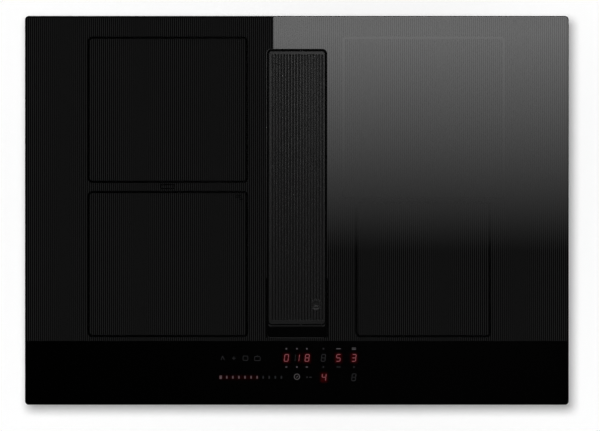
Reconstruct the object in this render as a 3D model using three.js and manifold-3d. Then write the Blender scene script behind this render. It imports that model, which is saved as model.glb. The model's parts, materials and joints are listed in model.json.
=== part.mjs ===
// Downdraft induction cooktop: a glass-ceramic hob with four cooking zones, and in its middle an air slot
// under a ribbed tilting flap. Steam goes down through a grease filter into a plenum, through a radial
// blower, and out of a flat duct spigot at the back. Liquid that falls in the slot ends in a tank below.
//
// Units are millimetres. +X is the cook's right, +Y is the back of the hob and +Z is up.
// The origin is the middle of the worktop cut-out, in the plane of the worktop's top face.

import * as THREE from "three";
import { mergeVertices } from "three/addons/utils/BufferGeometryUtils.js";
import Module from "manifold-3d";

// ------------------------------------------------------------------ driving dimensions

// Glass and the gasket that it rests on
const glassWidth = 720;
const glassDepth = 515;
const glassThickness = 4;
const glassCornerRadius = 5;
const glassBevel = 0.6;
const gasketThickness = 2;
const gasketWidth = 8;
const gasketInset = 2;
const gasketInnerCorner = 2;

// Air slot in the glass, and the frame that lines it
const slotWidth = 80.4;
const slotFrontMargin = 89;
const slotRearMargin = 44;
const slotCornerRadius = 6;
const bondGap = 0.3;
const rimWidth = 1.2;
const frameSink = 0.3;
const shelfDepth = 16.9;
const frameBevelRun = 2.6;
const frameBevelDrop = 1.6;
const flangeWidth = 8;
const flangeThickness = 2.5;
const throatWall = 2.5;
const throatTail = 12;
const throatCorner = 3;
const linerLap = 5;
const linerCollar = 1.8;
const shelfPocketEnd = 6;
const shelfPocketGap = 2;

// Flap: a ribbed plate on a moulded carrier that turns on two pins
const flapSideGap = 1.4;
const flapEndGap = 0.9;
const flapPlateThickness = 3.5;
const flapCornerRadius = 3.5;
const flapBevel = 0.8;
const groovePitch = 3.86;
const grooveWidth = 1.9;
const grooveDepth = 0.9;
const grooveEndMargin = 6.8;
const grooveSideMargin = 3.6;
const dimpleRadius = 5.5;
const dimpleDepth = 1.6;
const dimplePad = 1.2;
const dimpleFromRight = 11.6;
const dimpleFromFront = 24.4;
const carrierInset = 3.2;
const carrierThickness = 3.4;
const carrierSkin = 1.2;
const carrierRib = 2.2;
const carrierCorner = 2;
const carrierRows = 4;
const barrelWall = 1.5;
const barrelEnd = 2;
const flapAxisX = 6;
const flapAxisDrop = 4.5;
const flapOpenAngle = 75;
const pinRadius = 1.5;
const pinGrip = 12;
const pinSink = 0.5;
const bushLength = 8;
const bushWall = 1.4;
const bossWall = 1;
const stopRadius = 1.5;
const stopReach = 3;
const stopArm = 19;
const restLength = 10;
const restFromEnd = 40;
const runningGap = 0.1;
const seatGap = 0.3;

// Grease filter that lies on a ledge in the throat
const filterTopDrop = 38;
const filterHeight = 12;
const filterSideGap = 3.5;
const filterFrameWidth = 5;
const filterCorner = 2.5;
const filterRibWidth = 12;
const filterFloor = 2;
const meshThickness = 2.4;
const meshSlotWidth = 8.5;
const meshSlotPitch = 16;
const meshSlotMargin = 3;
const meshSpine = 4;
const ledgeReach = 7;
const ledgeThickness = 3;
const loopOuterRadius = 11;
const loopInnerRadius = 7.5;
const loopThickness = 3;
const loopFootLength = 8;
const loopFootWidth = 7;
const loopFootDepth = 3;
const bridgeOverhang = 2;

// Steel pan under the glass
const panSideSetback = 16;
const panEndSetback = 17;
const panHeight = 51.7;
const panWall = 1.2;
const panLip = 5;
const panCornerRadius = 8;
const panSleeveGap = 1.5;
const panSleeveHeight = 20;
const panSleeveCorner = 4;
const ventWidth = 4;
const ventPitch = 8;
const ventCount = 5;
const ventMargin = 8;
const ventRise = 16;
const rearVentPitch = 20;

// Cooking zones and the coils below them
const leftCoilWidth = 205;
const leftCoilDepth = 186;
const leftCoilCorner = 60;
const leftCoilFromSlot = 28;
const leftCoilGap = 18.3;
const rightCoilFromSlot = 23.4;
const rightCoilGap = 10.5;
const coilRearMargin = 31.3;
const rightRearCoilRadius = 104;
const rightFrontCoilRadius = 86;
const coilThickness = 4;
const coilDrop = 0.5;
const coilHoleShare = 0.22;
const coilGrooves = 1;
const coilGrooveWidth = 1.6;
const coilGrooveDepth = 1.2;
const coilLeastCorner = 8;
const coilBaseThickness = 3;
const coilBaseInset = 1;
const zoneCornerTrim = 1;
const ferriteThickness = 5;
const ferriteWidth = 16;
const ferriteBars = 8;
const ferriteReach = 0.92;
const sensorRadius = 7;
const sensorRise = 0.5;
const sensorTipRadius = 3.5;
const coilPlateThickness = 1.5;
const coilPlateMargin = 8;
const coilPlateMiddleY = 24;
const legWidth = 14;
const legThickness = 2;

// Power electronics inside the pan
const boardThickness = 1.6;
const boardStandoff = 7;
const postRadius = 4;
const postMargin = 8;
const boardWidth = 200;
const boardDepth = 150;
const boardSideMargin = 52;
const boardRearMargin = 45.5;
const capacitorSize = 32;
const capacitorPitch = 42;
const capacitorHeight = 18;
const chokeRadius = 13;
const chokePitch = 34;
const chokeHeight = 20;
const relayWidth = 28;
const relayDepth = 18;
const relayHeight = 14;
const componentMargin = 11;
const sinkWidth = 58;
const sinkHeight = 22;
const sinkLength = 130;
const sinkFins = 7;
const finThickness = 1.8;
const sinkBase = 4;
const sinkShift = -22;
const fanSize = 80;
const fanHeight = 15;
const fanFrontMargin = 70.5;
const fanHubRadius = 15;
const fanBladeCount = 7;
const fanTipGap = 1.5;
const fanWall = 2;
const fanCorner = 4;
const fanArms = 3;
const fanArmWidth = 5;
const fanFloor = 2;
const fanStubRadius = 2;
const fanRotorGap = 0.5;
const fanRotorDrop = 1;
const fanBladeChord = 15;
const fanBladeThickness = 1.2;
const fanBladePitch = 35;

// Touch controls under the plain front strip of the glass
const touchBoardWidth = 250;
const touchBoardDepth = 46;
const touchBoardFromFront = 27;
const touchTrayHeight = 10;
const touchTrayWall = 1.6;
const touchLegWidth = 8;
const digitWidth = 8;
const digitDepth = 12;
const digitRowSetback = 12.2;
const digitPlaces = [-13.8, 1.4, 13.7, 35.2, 55, 75.6];

// Blower housing below the pan
const ductWidth = 120;
const ductFrontReach = 34;
const ductRearReach = 14;
const plenumHeight = 60;
const mouldWall = 2.5;
const mouldRadius = 10;
const mouldLeastRadius = 2;
const plenumBlowerHalf = 105;
const plenumBlowerReach = 96;
const plateThickness = 2.7;
const scrollHeight = 92.4;
const scrollStartRadius = 93;
const scrollEndRadius = 126;
const scrollStartAngle = 80;
const scrollY = 30;
const scrollRearSetback = 37.5;
const scrollSteps = 18;
const outletStraight = 28;
const sumpHeight = 36;
const drainMargin = 16;
const drainCorner = 4;
const eyeRadius = 62;
const bellLip = 2;
const bellNeck = 7;
const bellFlange = 15;
const bellFlangeHeight = 2;
const bellDrop = 12;
const eyeSides = 20;
const flangeReach = 6;

// Impeller and motor
const impellerRadius = 85;
const bladeDepth = 16;
const impellerHeight = 72;
const impellerFloorGap = 8.5;
const bladeCount = 20;
const bladeThickness = 1.2;
const wheelPlate = 2;
const bladeTipInset = 0.6;
const cupGap = 3;
const cupDiscGap = 4;
const bandWidth = 4;
const bandHeight = 4;
const bladeLean = 0.2;
const hubBoss = 6;
const hubBossWall = 5.9;
const hubBossDraft = 1;
const bearingRadius = 12;
const bearingHeight = 2;
const motorShoulder = 8;
const shaftSink = 30;
const shaftEndGap = 1;
const shaftStub = 2;
const motorRadius = 44;
const motorHeight = 44;
const mountHeight = 3;
const mountReach = 30;
const mountWidth = 16;
const mountLap = 8;
const mountInset = 2;
const mountFeet = 3;
const shaftRadius = 4;

// Duct spigot, tank and mains connection
const spigotWidth = 222;
const spigotHeight = 89;
const spigotLength = 38;
const spigotWall = 2;
const spigotFlange = 3;
const spigotCorner = 6;
const tankWidth = 96;
const tankLength = 292;
const tankWall = 2;
const tankCorner = 10;
const gripWidth = 40;
const gripHeight = 6;
const gripReach = 7;
const gripSkirtGap = 2;
const sealHeight = 4;
const sealWidth = 1.9;
const skirtHeight = 12;
const skirtWall = 2.5;
const skirtGap = 1;
const terminalWidth = 92;
const terminalDepth = 66;
const terminalHeight = 28;
const terminalSideMargin = 12;
const terminalRearMargin = 19.5;
const terminalCorner = 4;
const wireHoleRadius = 6;
const wireHoleInset = 16;
const glandRadius = 10;
const glandBore = 6;
const glandLength = 16;
const glandStep = 2.5;

// Spring clips that hold the hob in the cut-out
const clipWidth = 30;
const clipSheet = 0.8;
const clipHeight = 34;
const clipBulge = 7;
const clipFootDrop = 3;
const clipScrewShare = 0.21;
const clipFromEnd = 90;
const screwRadius = 2;
const screwHeadRadius = 3.6;
const screwHeadHeight = 2;
const screwLength = 8;

// ------------------------------------------------------------------ levels and lines worked out from them

const glassUnder = gasketThickness;
const glassTop = glassUnder + glassThickness;
const glassX = glassWidth / 2;
const glassY = glassDepth / 2;

const slotX = slotWidth / 2;
const slotFront = -glassY + slotFrontMargin;
const slotRear = glassY - slotRearMargin;
const openingX = slotX - bondGap - rimWidth;
const openingFront = slotFront + shelfDepth;
const openingRear = slotRear - bondGap - rimWidth;
const frameTop = glassTop - frameSink;
const flangeTop = glassUnder - bondGap;
const flangeUnder = flangeTop - flangeThickness;

const flapX = openingX - flapSideGap;
const flapFront = openingFront + flapEndGap;
const flapRear = openingRear - flapEndGap;
const flapUnder = glassTop - flapPlateThickness;
const flapAxisZ = glassUnder - flapAxisDrop;
const bushRadius = pinRadius + runningGap + bushWall;
const bossRadius = bushRadius + runningGap + bossWall;

const filterTop = glassUnder - filterTopDrop;
const ledgeTop = filterTop - filterHeight;
const throatX = openingX + throatWall;
const throatFront = openingFront - throatWall;
const throatRear = openingRear + throatWall;
const throatUnder = ledgeTop - ledgeThickness - throatTail;
const linerTop = flapAxisZ - bossRadius - seatGap - linerLap;

const panX = glassX - panSideSetback;
const panY = glassY - panEndSetback;
const panTop = glassUnder - bondGap;
const panUnder = panTop - panHeight;
const panFloor = panUnder + panWall;

const coilTop = glassUnder - coilDrop;
const coilUnder = coilTop - coilThickness;
const baseUnder = coilUnder - coilBaseThickness;
const ferriteUnder = baseUnder - ferriteThickness;
const coilPlateUnder = ferriteUnder - coilPlateThickness;
const leftZoneX = -slotX - leftCoilFromSlot - leftCoilWidth / 2;
const leftRearZoneY = glassY - coilRearMargin - leftCoilDepth / 2;
const leftFrontZoneY = leftRearZoneY - leftCoilDepth - leftCoilGap;
const rightZoneX = slotX + rightCoilFromSlot + rightRearCoilRadius;
const rightRearZoneY = glassY - coilRearMargin - rightRearCoilRadius;
const rightFrontZoneY = rightRearZoneY - rightRearCoilRadius - rightFrontCoilRadius - rightCoilGap;
const boardUnder = panFloor + boardStandoff;
const boardTop = boardUnder + boardThickness;
const fanUnder = panFloor;
const boardX = panX - boardWidth / 2 - boardSideMargin;
const boardY = panY - boardDepth / 2 - boardRearMargin;
const fanX = boardX;
const fanY = -panY + fanSize / 2 + fanFrontMargin;
const terminalX = -panX + terminalWidth / 2 + terminalSideMargin;
const terminalY = panY - terminalDepth / 2 - terminalRearMargin;
const wireHoleX = terminalX - terminalWidth / 2 + wireHoleInset;
const wireHoleY = terminalY + terminalDepth / 2 - wireHoleInset;

const ductX = ductWidth / 2;
const ductFrontY = throatFront - ductFrontReach;
const ductRearY = throatRear + ductRearReach;
const drainY = (ductFrontY + ductRearY) / 2;
const scrollRearY = panY - scrollRearSetback;
const plenumTop = panUnder - seatGap;
const plenumUnder = plenumTop - plenumHeight;
const plateTop = plenumUnder - seatGap;
const plateUnder = plateTop - plateThickness;
const scrollTop = plateUnder - seatGap;
const scrollUnder = scrollTop - scrollHeight;
const scrollFloor = scrollUnder + mouldWall;
const sumpUnder = scrollTop - sumpHeight;
const scrollX = ductX + seatGap + scrollRadiusAt(180);
const outletRight = scrollX + scrollEndRadius;
const outletLeft = outletRight - spigotWidth;
const wheelUnder = scrollFloor + impellerFloorGap;
const wheelTop = wheelUnder + impellerHeight;
const motorUnder = scrollFloor + mountHeight;
const motorTop = motorUnder + motorHeight;
const tankTop = sumpUnder - seatGap - sealHeight;
const clipY = panY - clipFromEnd;
const clipScrewZ = panTop - panWall - clipFootDrop - clipHeight * clipScrewShare;

// ------------------------------------------------------------------ tools for solids

const wasm = await Module();
wasm.setup();

// A closed three.js geometry as a solid that can be joined and cut. A lathe profile that was drawn the
// other way round comes out inside out, so its faces are turned.
function solid(geometry) {
  const bare = geometry.index ? geometry.toNonIndexed() : geometry.clone();
  bare.deleteAttribute("normal");
  bare.deleteAttribute("uv");
  const merged = mergeVertices(bare, 1e-4);
  const triVerts = new Uint32Array(merged.index.array);
  const vertProperties = merged.attributes.position.array;
  const made = new wasm.Manifold(new wasm.Mesh({ numProp: 3, vertProperties, triVerts }));
  if (made.volume() > 0) return made;
  triVerts.reverse();
  return new wasm.Manifold(new wasm.Mesh({ numProp: 3, vertProperties, triVerts }));
}

// How far a cutter runs past the face that it opens, and a joined piece into its neighbour
const past = 1;

const join = (first, ...others) => others.reduce((whole, piece) => whole.add(piece), first);
const cut = (first, ...others) => others.reduce((whole, piece) => whole.subtract(piece), first);

function block(x0, x1, y0, y1, z0, z1) {
  const box = new THREE.BoxGeometry(x1 - x0, y1 - y0, z1 - z0);
  return solid(box.translate((x0 + x1) / 2, (y0 + y1) / 2, (z0 + z1) / 2));
}

// An outline whose corners are rounded. A corner is a Vector2, and the outline may turn either way there.
function filleted(corners, radius, steps = 3) {
  const outline = [];
  corners.forEach((corner, i) => {
    const back = corners.at(i - 1).clone().sub(corner).normalize();
    const on = corners[(i + 1) % corners.length].clone().sub(corner).normalize();
    const half = Math.acos(THREE.MathUtils.clamp(back.dot(on), -1, 1)) / 2;
    const reach = radius / Math.tan(half);
    const inward = back.clone().add(on).normalize();
    const centre = corner.clone().addScaledVector(inward, radius / Math.sin(half));
    const from = corner.clone().addScaledVector(back, reach).sub(centre);
    const to = corner.clone().addScaledVector(on, reach).sub(centre);
    const turn = Math.atan2(from.cross(to), from.dot(to));
    for (let k = 0; k <= steps; k++) {
      const point = from.clone().rotateAround(new THREE.Vector2(), (turn * k) / steps);
      outline.push(point.add(centre));
    }
  });
  return new THREE.Shape(outline);
}

function rectangle(x0, x1, y0, y1, radius, steps = 3) {
  const corners = [
    [x0, y0],
    [x1, y0],
    [x1, y1],
    [x0, y1],
  ];
  return filleted(
    corners.map(([x, y]) => new THREE.Vector2(x, y)),
    radius,
    steps,
  );
}

// An outline in the XY plane, raised from z0 to z1
function raised(outline, z0, z1) {
  const prism = new THREE.ExtrudeGeometry(outline, { depth: z1 - z0, bevelEnabled: false });
  return solid(prism.translate(0, 0, z0));
}

// As raised, with both rims bevelled inside the outline
function bevelled(outline, z0, z1, bevel) {
  const prism = new THREE.ExtrudeGeometry(outline, {
    depth: z1 - z0 - 2 * bevel,
    bevelSize: bevel,
    bevelThickness: bevel,
    bevelOffset: -bevel,
    bevelSegments: 1,
  });
  return solid(prism.translate(0, 0, z0 + bevel));
}

function rod(radius, x, y, z0, z1, sides = 18) {
  const cylinder = new THREE.CylinderGeometry(radius, radius, z1 - z0, sides);
  return solid(cylinder.rotateX(Math.PI / 2).translate(x, y, (z0 + z1) / 2));
}

function rodAlongY(radius, x, z, y0, y1, sides = 16) {
  return solid(new THREE.CylinderGeometry(radius, radius, y1 - y0, sides).translate(x, (y0 + y1) / 2, z));
}

function rodAlongX(radius, y, z, x0, x1, sides = 8) {
  const cylinder = new THREE.CylinderGeometry(radius, radius, x1 - x0, sides);
  return solid(cylinder.rotateZ(Math.PI / 2).translate((x0 + x1) / 2, y, z));
}

// A closed profile of [radius, height] pairs, turned about the vertical line at x, y
function turned(profile, x, y, sides = 32) {
  const points = [...profile, profile[0]].map(([r, z]) => new THREE.Vector2(r, z));
  return solid(new THREE.LatheGeometry(points, sides).rotateX(Math.PI / 2).translate(x, y, 0));
}

// An outline drawn in the XZ plane, run along Y from y0 to y1
function runAlongY(points, y0, y1) {
  const shape = new THREE.Shape(points.map(([x, z]) => new THREE.Vector2(x, z)));
  const prism = new THREE.ExtrudeGeometry(shape, { depth: y1 - y0, bevelEnabled: false });
  return solid(prism.rotateX(Math.PI / 2).translate(0, y1, 0));
}

// A finished solid as a named mesh of its material
function part(name, material, body) {
  const { vertProperties, triVerts } = body.getMesh();
  const indexed = new THREE.BufferGeometry();
  indexed.setAttribute("position", new THREE.BufferAttribute(vertProperties, 3));
  indexed.setIndex(new THREE.BufferAttribute(triVerts, 1));
  const geometry = indexed.toNonIndexed();
  geometry.computeVertexNormals();
  const mesh = new THREE.Mesh(geometry, material);
  mesh.name = name;
  return mesh;
}

// Meshes that are drawn about their own middle, placed together at x, y, z
function placed(x, y, z, ...meshes) {
  const unit = new THREE.Group();
  unit.position.set(x, y, z);
  unit.add(...meshes);
  return unit;
}

const hob = new THREE.Group();

// ------------------------------------------------------------------ materials

function finish(color, roughness, metalness = 0) {
  return new THREE.MeshStandardMaterial({ color, roughness, metalness });
}

const blackGlass = finish(0x050505, 0.06);
const flapPaint = finish(0x2b2b2b, 0.45, 0.4);
const blackPlastic = finish(0x101010, 0.5);
const foam = finish(0x1c1c1c, 0.95);
const galvanised = finish(0xa4a8aa, 0.4, 0.9);
const springSteel = finish(0xb8babc, 0.3, 1);
const aluminium = finish(0xc4c6c8, 0.35, 0.9);
const copper = finish(0xb4653a, 0.4, 0.9);
const ferrite = finish(0x3a3a3d, 0.7);
const circuitBoard = finish(0x1f5a34, 0.6);
const greyPlastic = finish(0x4a4c4e, 0.6);
const rubber = finish(0x161616, 0.9);
const tankPlastic = finish(0x2a2c2e, 0.4);

// ------------------------------------------------------------------ glass and gasket

function slotOutline(inset, radius) {
  return rectangle(-slotX + inset, slotX - inset, slotFront + inset, slotRear - inset, radius);
}

function buildGlass() {
  const outline = rectangle(-glassX, glassX, -glassY, glassY, glassCornerRadius);
  const plate = bevelled(outline, glassUnder, glassTop, glassBevel);
  return cut(plate, raised(slotOutline(0, slotCornerRadius), glassUnder - past, glassTop + past));
}

function buildGasket() {
  const x = glassX - gasketInset;
  const y = glassY - gasketInset;
  const ring = raised(rectangle(-x, x, -y, y, glassCornerRadius), 0, gasketThickness);
  const innerX = x - gasketWidth;
  const innerY = y - gasketWidth;
  const inner = rectangle(-innerX, innerX, -innerY, innerY, gasketInnerCorner);
  return cut(ring, raised(inner, -past, gasketThickness + past));
}

hob.add(part("glass_top", blackGlass, buildGlass()), part("worktop_gasket", foam, buildGasket()));

// ------------------------------------------------------------------ slot frame

// The flap's opening, drawn in by an inset
function openingForm(inset, z0, z1) {
  const outline = rectangle(
    -openingX + inset,
    openingX - inset,
    openingFront + inset,
    openingRear - inset,
    inset < 0 ? throatCorner - inset : throatCorner,
  );
  return raised(outline, z0, z1);
}

// The frame lines the slot and carries the flap's bushes.
function buildSlotFrame() {
  const rim = raised(slotOutline(bondGap, slotCornerRadius - bondGap), flangeUnder, frameTop);
  const flange = raised(slotOutline(-flangeWidth, slotCornerRadius), flangeUnder, flangeTop);
  const throat = openingForm(-throatWall, linerTop, flangeTop);
  const bosses = [
    rodAlongY(bossRadius, flapAxisX, flapAxisZ, openingFront - bushLength - bossWall, openingFront),
    rodAlongY(bossRadius, flapAxisX, flapAxisZ, openingRear, openingRear + bushLength + bossWall),
  ];
  const whole = cut(join(rim, flange, throat, ...bosses), openingForm(0, linerTop - past, glassTop + past));
  return cut(join(whole, ...closedRests()), ...bushSeats(), frontBevel(), ...shelfPockets());
}

// The liner carries the throat on downwards. Its collar laps the frame's foot, its ledge holds the filter,
// and its lugs stop the open flap.
function buildThroatLiner() {
  const top = linerTop - seatGap;
  const lap = -throatWall - seatGap;
  const tube = cut(
    join(
      openingForm(-throatWall, throatUnder, top),
      openingForm(lap - linerCollar, top - linerLap, linerTop + linerLap),
    ),
    openingForm(lap, top, linerTop + linerLap + past),
    openingForm(0, throatUnder - past, top + past),
  );
  const ledge = cut(
    openingForm(-throatWall / 2, ledgeTop - ledgeThickness, ledgeTop),
    openingForm(ledgeReach, ledgeTop - ledgeThickness - past, ledgeTop + past),
  );
  return join(tube, ledge, ...openStops());
}

function bushSeats() {
  const radius = bushRadius + runningGap;
  return [
    rodAlongY(radius, flapAxisX, flapAxisZ, openingFront - bushLength - runningGap, openingFront + past),
    rodAlongY(radius, flapAxisX, flapAxisZ, openingRear - past, openingRear + bushLength + runningGap),
  ];
}

// The edge in front of the flap slopes down to it.
function frontBevel() {
  const front = openingFront - frameBevelRun;
  const drop = (frameBevelDrop * (frameBevelRun + past)) / frameBevelRun;
  const edge = new THREE.Shape([
    new THREE.Vector2(front, frameTop + past),
    new THREE.Vector2(front, frameTop),
    new THREE.Vector2(openingFront + past, frameTop - drop),
    new THREE.Vector2(openingFront + past, frameTop + past),
  ]);
  const prism = new THREE.ExtrudeGeometry(edge, { depth: 2 * openingX, bevelEnabled: false });
  return solid(prism.rotateX(Math.PI / 2).rotateZ(Math.PI / 2).translate(-openingX, 0, 0));
}

// Pockets that keep the wall of the moulded shelf even, on both sides of the bush's boss
function shelfPockets() {
  const skin = throatWall;
  const front = slotFront + bondGap + skin;
  const rear = throatFront - past;
  const top = frameTop - frameBevelDrop - skin;
  const pocket = (x0, x1) => block(x0, x1, front, rear, flangeUnder - past, top);
  const inner = bossRadius + shelfPocketGap;
  const outer = slotX - shelfPocketEnd;
  return [pocket(-outer, flapAxisX - inner), pocket(flapAxisX + inner, outer)];
}

// Two lugs on the end walls. The ends of the open flap's plate come to rest on them.
function openStops() {
  const angle = THREE.MathUtils.degToRad(flapOpenAngle);
  const arm = new THREE.Vector2(stopArm, flapUnder - flapAxisZ - stopRadius - seatGap);
  const x = flapAxisX + arm.x * Math.cos(angle) + arm.y * Math.sin(angle);
  const z = flapAxisZ - arm.x * Math.sin(angle) + arm.y * Math.cos(angle);
  return [
    rodAlongY(stopRadius, x, z, openingFront - past, openingFront + stopReach, 12),
    rodAlongY(stopRadius, x, z, openingRear - stopReach, openingRear + past, 12),
  ];
}

// Two lugs on the rim's left side. The shut flap's heavier side lies on them.
function closedRests() {
  const top = flapUnder - seatGap;
  const left = -openingX - past;
  const rest = (y) =>
    block(left, -openingX + stopReach, y - restLength / 2, y + restLength / 2, flangeUnder, top);
  return [rest(openingFront + restFromEnd), rest(openingRear - restFromEnd)];
}

function buildBush(y0, y1) {
  return cut(
    rodAlongY(bushRadius, flapAxisX, flapAxisZ, y0, y1),
    rodAlongY(pinRadius + runningGap, flapAxisX, flapAxisZ, y0 - past, y1 + past),
  );
}

hob.add(
  part("slot_frame", blackPlastic, buildSlotFrame()),
  part("throat_liner", blackPlastic, buildThroatLiner()),
  part("flap_bush_front", greyPlastic, buildBush(openingFront - bushLength, openingFront)),
  part("flap_bush_rear", greyPlastic, buildBush(openingRear, openingRear + bushLength)),
);

// ------------------------------------------------------------------ flap

// Grooves between the ribs. They stop short of the plate's ends and of the pad round the dimple.
function grooves(dimpleX, dimpleY) {
  const count = Math.floor((2 * (flapX - grooveSideMargin)) / groovePitch);
  const half = grooveWidth / 2;
  const pad = rod(dimpleRadius + dimplePad, dimpleX, dimpleY, flapUnder, glassTop + past, 24);
  const made = [];
  for (let i = 0; i <= count; i++) {
    const x = (i - count / 2) * groovePitch;
    const profile = [
      [x - half - grooveDepth, glassTop + grooveDepth],
      [x - half / 2, glassTop - grooveDepth],
      [x + half / 2, glassTop - grooveDepth],
      [x + half + grooveDepth, glassTop + grooveDepth],
    ];
    const groove = runAlongY(profile, flapFront + grooveEndMargin, flapRear - grooveEndMargin);
    const nearPad = Math.abs(x - dimpleX) < dimpleRadius + dimplePad + grooveWidth;
    made.push(nearPad ? cut(groove, pad) : groove);
  }
  return made;
}

function buildFlapPlate() {
  const outline = rectangle(-flapX, flapX, flapFront, flapRear, flapCornerRadius);
  const plate = bevelled(outline, flapUnder, glassTop, flapBevel);
  const dimpleX = flapX - dimpleFromRight;
  const dimpleY = flapFront + dimpleFromFront;
  const ballRadius = (dimpleRadius ** 2 + dimpleDepth ** 2) / (2 * dimpleDepth);
  const ball = new THREE.SphereGeometry(ballRadius, 20, 14).rotateX(Math.PI / 2);
  const dimple = solid(ball.translate(dimpleX, dimpleY, glassTop - dimpleDepth + ballRadius));
  return cut(plate, ...grooves(dimpleX, dimpleY), dimple);
}

// The moulded carrier is a shallow tray with ribs below, and a barrel at each end for its pin.
function buildFlapCarrier() {
  const x = flapX - carrierInset;
  const front = flapFront + carrierInset;
  const rear = flapRear - carrierInset;
  const under = flapUnder - carrierThickness;
  const tray = raised(rectangle(-x, x, front, rear, carrierCorner), under, flapUnder);
  const barrelRadius = pinRadius + runningGap + barrelWall;
  const barrel = (y0, y1) =>
    join(
      rodAlongY(barrelRadius, flapAxisX, flapAxisZ, y0, y1),
      block(flapAxisX - barrelRadius, flapAxisX + barrelRadius, y0, y1, flapAxisZ, under + carrierSkin),
    );
  const barrelLength = pinGrip + barrelEnd;
  const pockets = [];
  const pitch = (rear - front - carrierRib - 2 * barrelLength) / carrierRows;
  for (let i = 0; i < carrierRows; i++) {
    const y0 = front + barrelLength + carrierRib + i * pitch;
    for (const [x0, x1] of [
      [-x + carrierRib, -x / 2 - carrierRib / 2],
      [-x / 2 + carrierRib / 2, -carrierRib / 2],
      [carrierRib / 2, x / 2 - carrierRib / 2],
      [x / 2 + carrierRib / 2, x - carrierRib],
    ])
      pockets.push(block(x0, x1, y0, y0 + pitch - carrierRib, under - past, flapUnder - carrierSkin));
  }
  const whole = join(cut(tray, ...pockets), barrel(front, front + barrelLength));
  return cut(
    join(whole, barrel(rear - barrelLength, rear)),
    rodAlongY(pinRadius + runningGap, flapAxisX, flapAxisZ, front - past, front + pinGrip),
    rodAlongY(pinRadius + runningGap, flapAxisX, flapAxisZ, rear - pinGrip, rear + past),
  );
}

function buildPin(y0, y1) {
  return rodAlongY(pinRadius, flapAxisX, flapAxisZ, y0 + pinSink, y1 - pinSink);
}

hob.add(
  placed(
    0,
    0,
    0,
    part("flap_plate", flapPaint, buildFlapPlate()),
    part("flap_carrier", blackPlastic, buildFlapCarrier()),
    part(
      "flap_pin_front",
      springSteel,
      buildPin(openingFront - bushLength, flapFront + carrierInset + pinGrip),
    ),
    part("flap_pin_rear", springSteel, buildPin(flapRear - carrierInset - pinGrip, openingRear + bushLength)),
  ),
);

// ------------------------------------------------------------------ grease filter

const filterX = openingX - filterSideGap;
const filterFront = openingFront + filterSideGap;
const filterRear = openingRear - filterSideGap;
const filterMiddle = (filterFront + filterRear) / 2;

// A tray-shaped frame with a rib across its middle, and a loop on the rib to lift it out by
function buildFilterFrame() {
  const outer = raised(
    rectangle(-filterX, filterX, filterFront, filterRear, filterCorner),
    ledgeTop,
    filterTop,
  );
  const windowX = filterX - filterFrameWidth;
  const window = (y0, y1) =>
    block(-windowX, windowX, y0, y1, ledgeTop - past, filterTop + past);
  const rib = filterRibWidth / 2;
  const open = cut(
    outer,
    window(filterFront + filterFrameWidth, filterMiddle - rib),
    window(filterMiddle + rib, filterRear - filterFrameWidth),
  );
  const groove = block(
    -filterX + filterFrameWidth / 2,
    filterX - filterFrameWidth / 2,
    filterFront + filterFrameWidth / 2,
    filterRear - filterFrameWidth / 2,
    ledgeTop + filterFloor,
    ledgeTop + filterFloor + meshThickness + 2 * seatGap,
  );
  const loopX = -filterX / 2;
  const arch = new THREE.Shape();
  arch.absarc(0, 0, loopOuterRadius, 0, Math.PI, false);
  arch.absarc(0, 0, loopInnerRadius, Math.PI, 0, true);
  const bar = { depth: loopThickness, bevelEnabled: false, curveSegments: 8 };
  const ring = new THREE.ExtrudeGeometry(arch, bar);
  const loop = solid(
    ring
      .rotateX(Math.PI / 2)
      .rotateZ(Math.PI / 2)
      .translate(loopX - loopThickness / 2, filterMiddle, filterTop),
  );
  const x0 = loopX - loopFootLength / 2;
  const x1 = loopX + loopFootLength / 2;
  const footUnder = filterTop - loopFootDepth;
  const foot = (side) => {
    const y = filterMiddle + (side * (loopOuterRadius + loopInnerRadius)) / 2;
    return block(x0, x1, y - loopFootWidth / 2, y + loopFootWidth / 2, footUnder, filterTop + past);
  };
  const reach = loopOuterRadius + bridgeOverhang;
  const bridge = block(x0, x1, filterMiddle - reach, filterMiddle + reach, footUnder, filterTop);
  return join(cut(open, groove), bridge, foot(-1), foot(1), loop);
}

// Slotted aluminium panel, held in the frame's groove
function buildFilterMesh() {
  const inset = filterFrameWidth / 2 + seatGap;
  const z0 = ledgeTop + filterFloor + seatGap;
  const panel = block(
    -filterX + inset,
    filterX - inset,
    filterFront + inset,
    filterRear - inset,
    z0,
    z0 + meshThickness,
  );
  const slotEnd = filterX - filterFrameWidth - meshSlotMargin;
  const first = filterFront + filterFrameWidth + meshSlotPitch / 2;
  const last = filterRear - filterFrameWidth - meshSlotPitch / 2;
  const slots = [];
  for (let y = first; y < last; y += meshSlotPitch) {
    const slot = (x0, x1) =>
      block(x0, x1, y - meshSlotWidth / 2, y + meshSlotWidth / 2, z0 - past, z0 + meshThickness + past);
    slots.push(slot(-slotEnd, -meshSpine / 2), slot(meshSpine / 2, slotEnd));
  }
  return cut(panel, ...slots);
}

hob.add(
  part("filter_frame", aluminium, buildFilterFrame()),
  part("filter_mesh", aluminium, buildFilterMesh()),
);

// ------------------------------------------------------------------ pan

function panTray() {
  const outer = raised(rectangle(-panX, panX, -panY, panY, panCornerRadius), panUnder, panTop);
  const lip = raised(
    rectangle(-panX - panLip, panX + panLip, -panY - panLip, panY + panLip, panCornerRadius + panLip),
    panTop - panWall,
    panTop,
  );
  const inner = raised(
    rectangle(-panX + panWall, panX - panWall, -panY + panWall, panY - panWall, panCornerRadius - panWall),
    panFloor,
    panTop + past,
  );
  return cut(join(outer, lip), inner);
}

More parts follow.
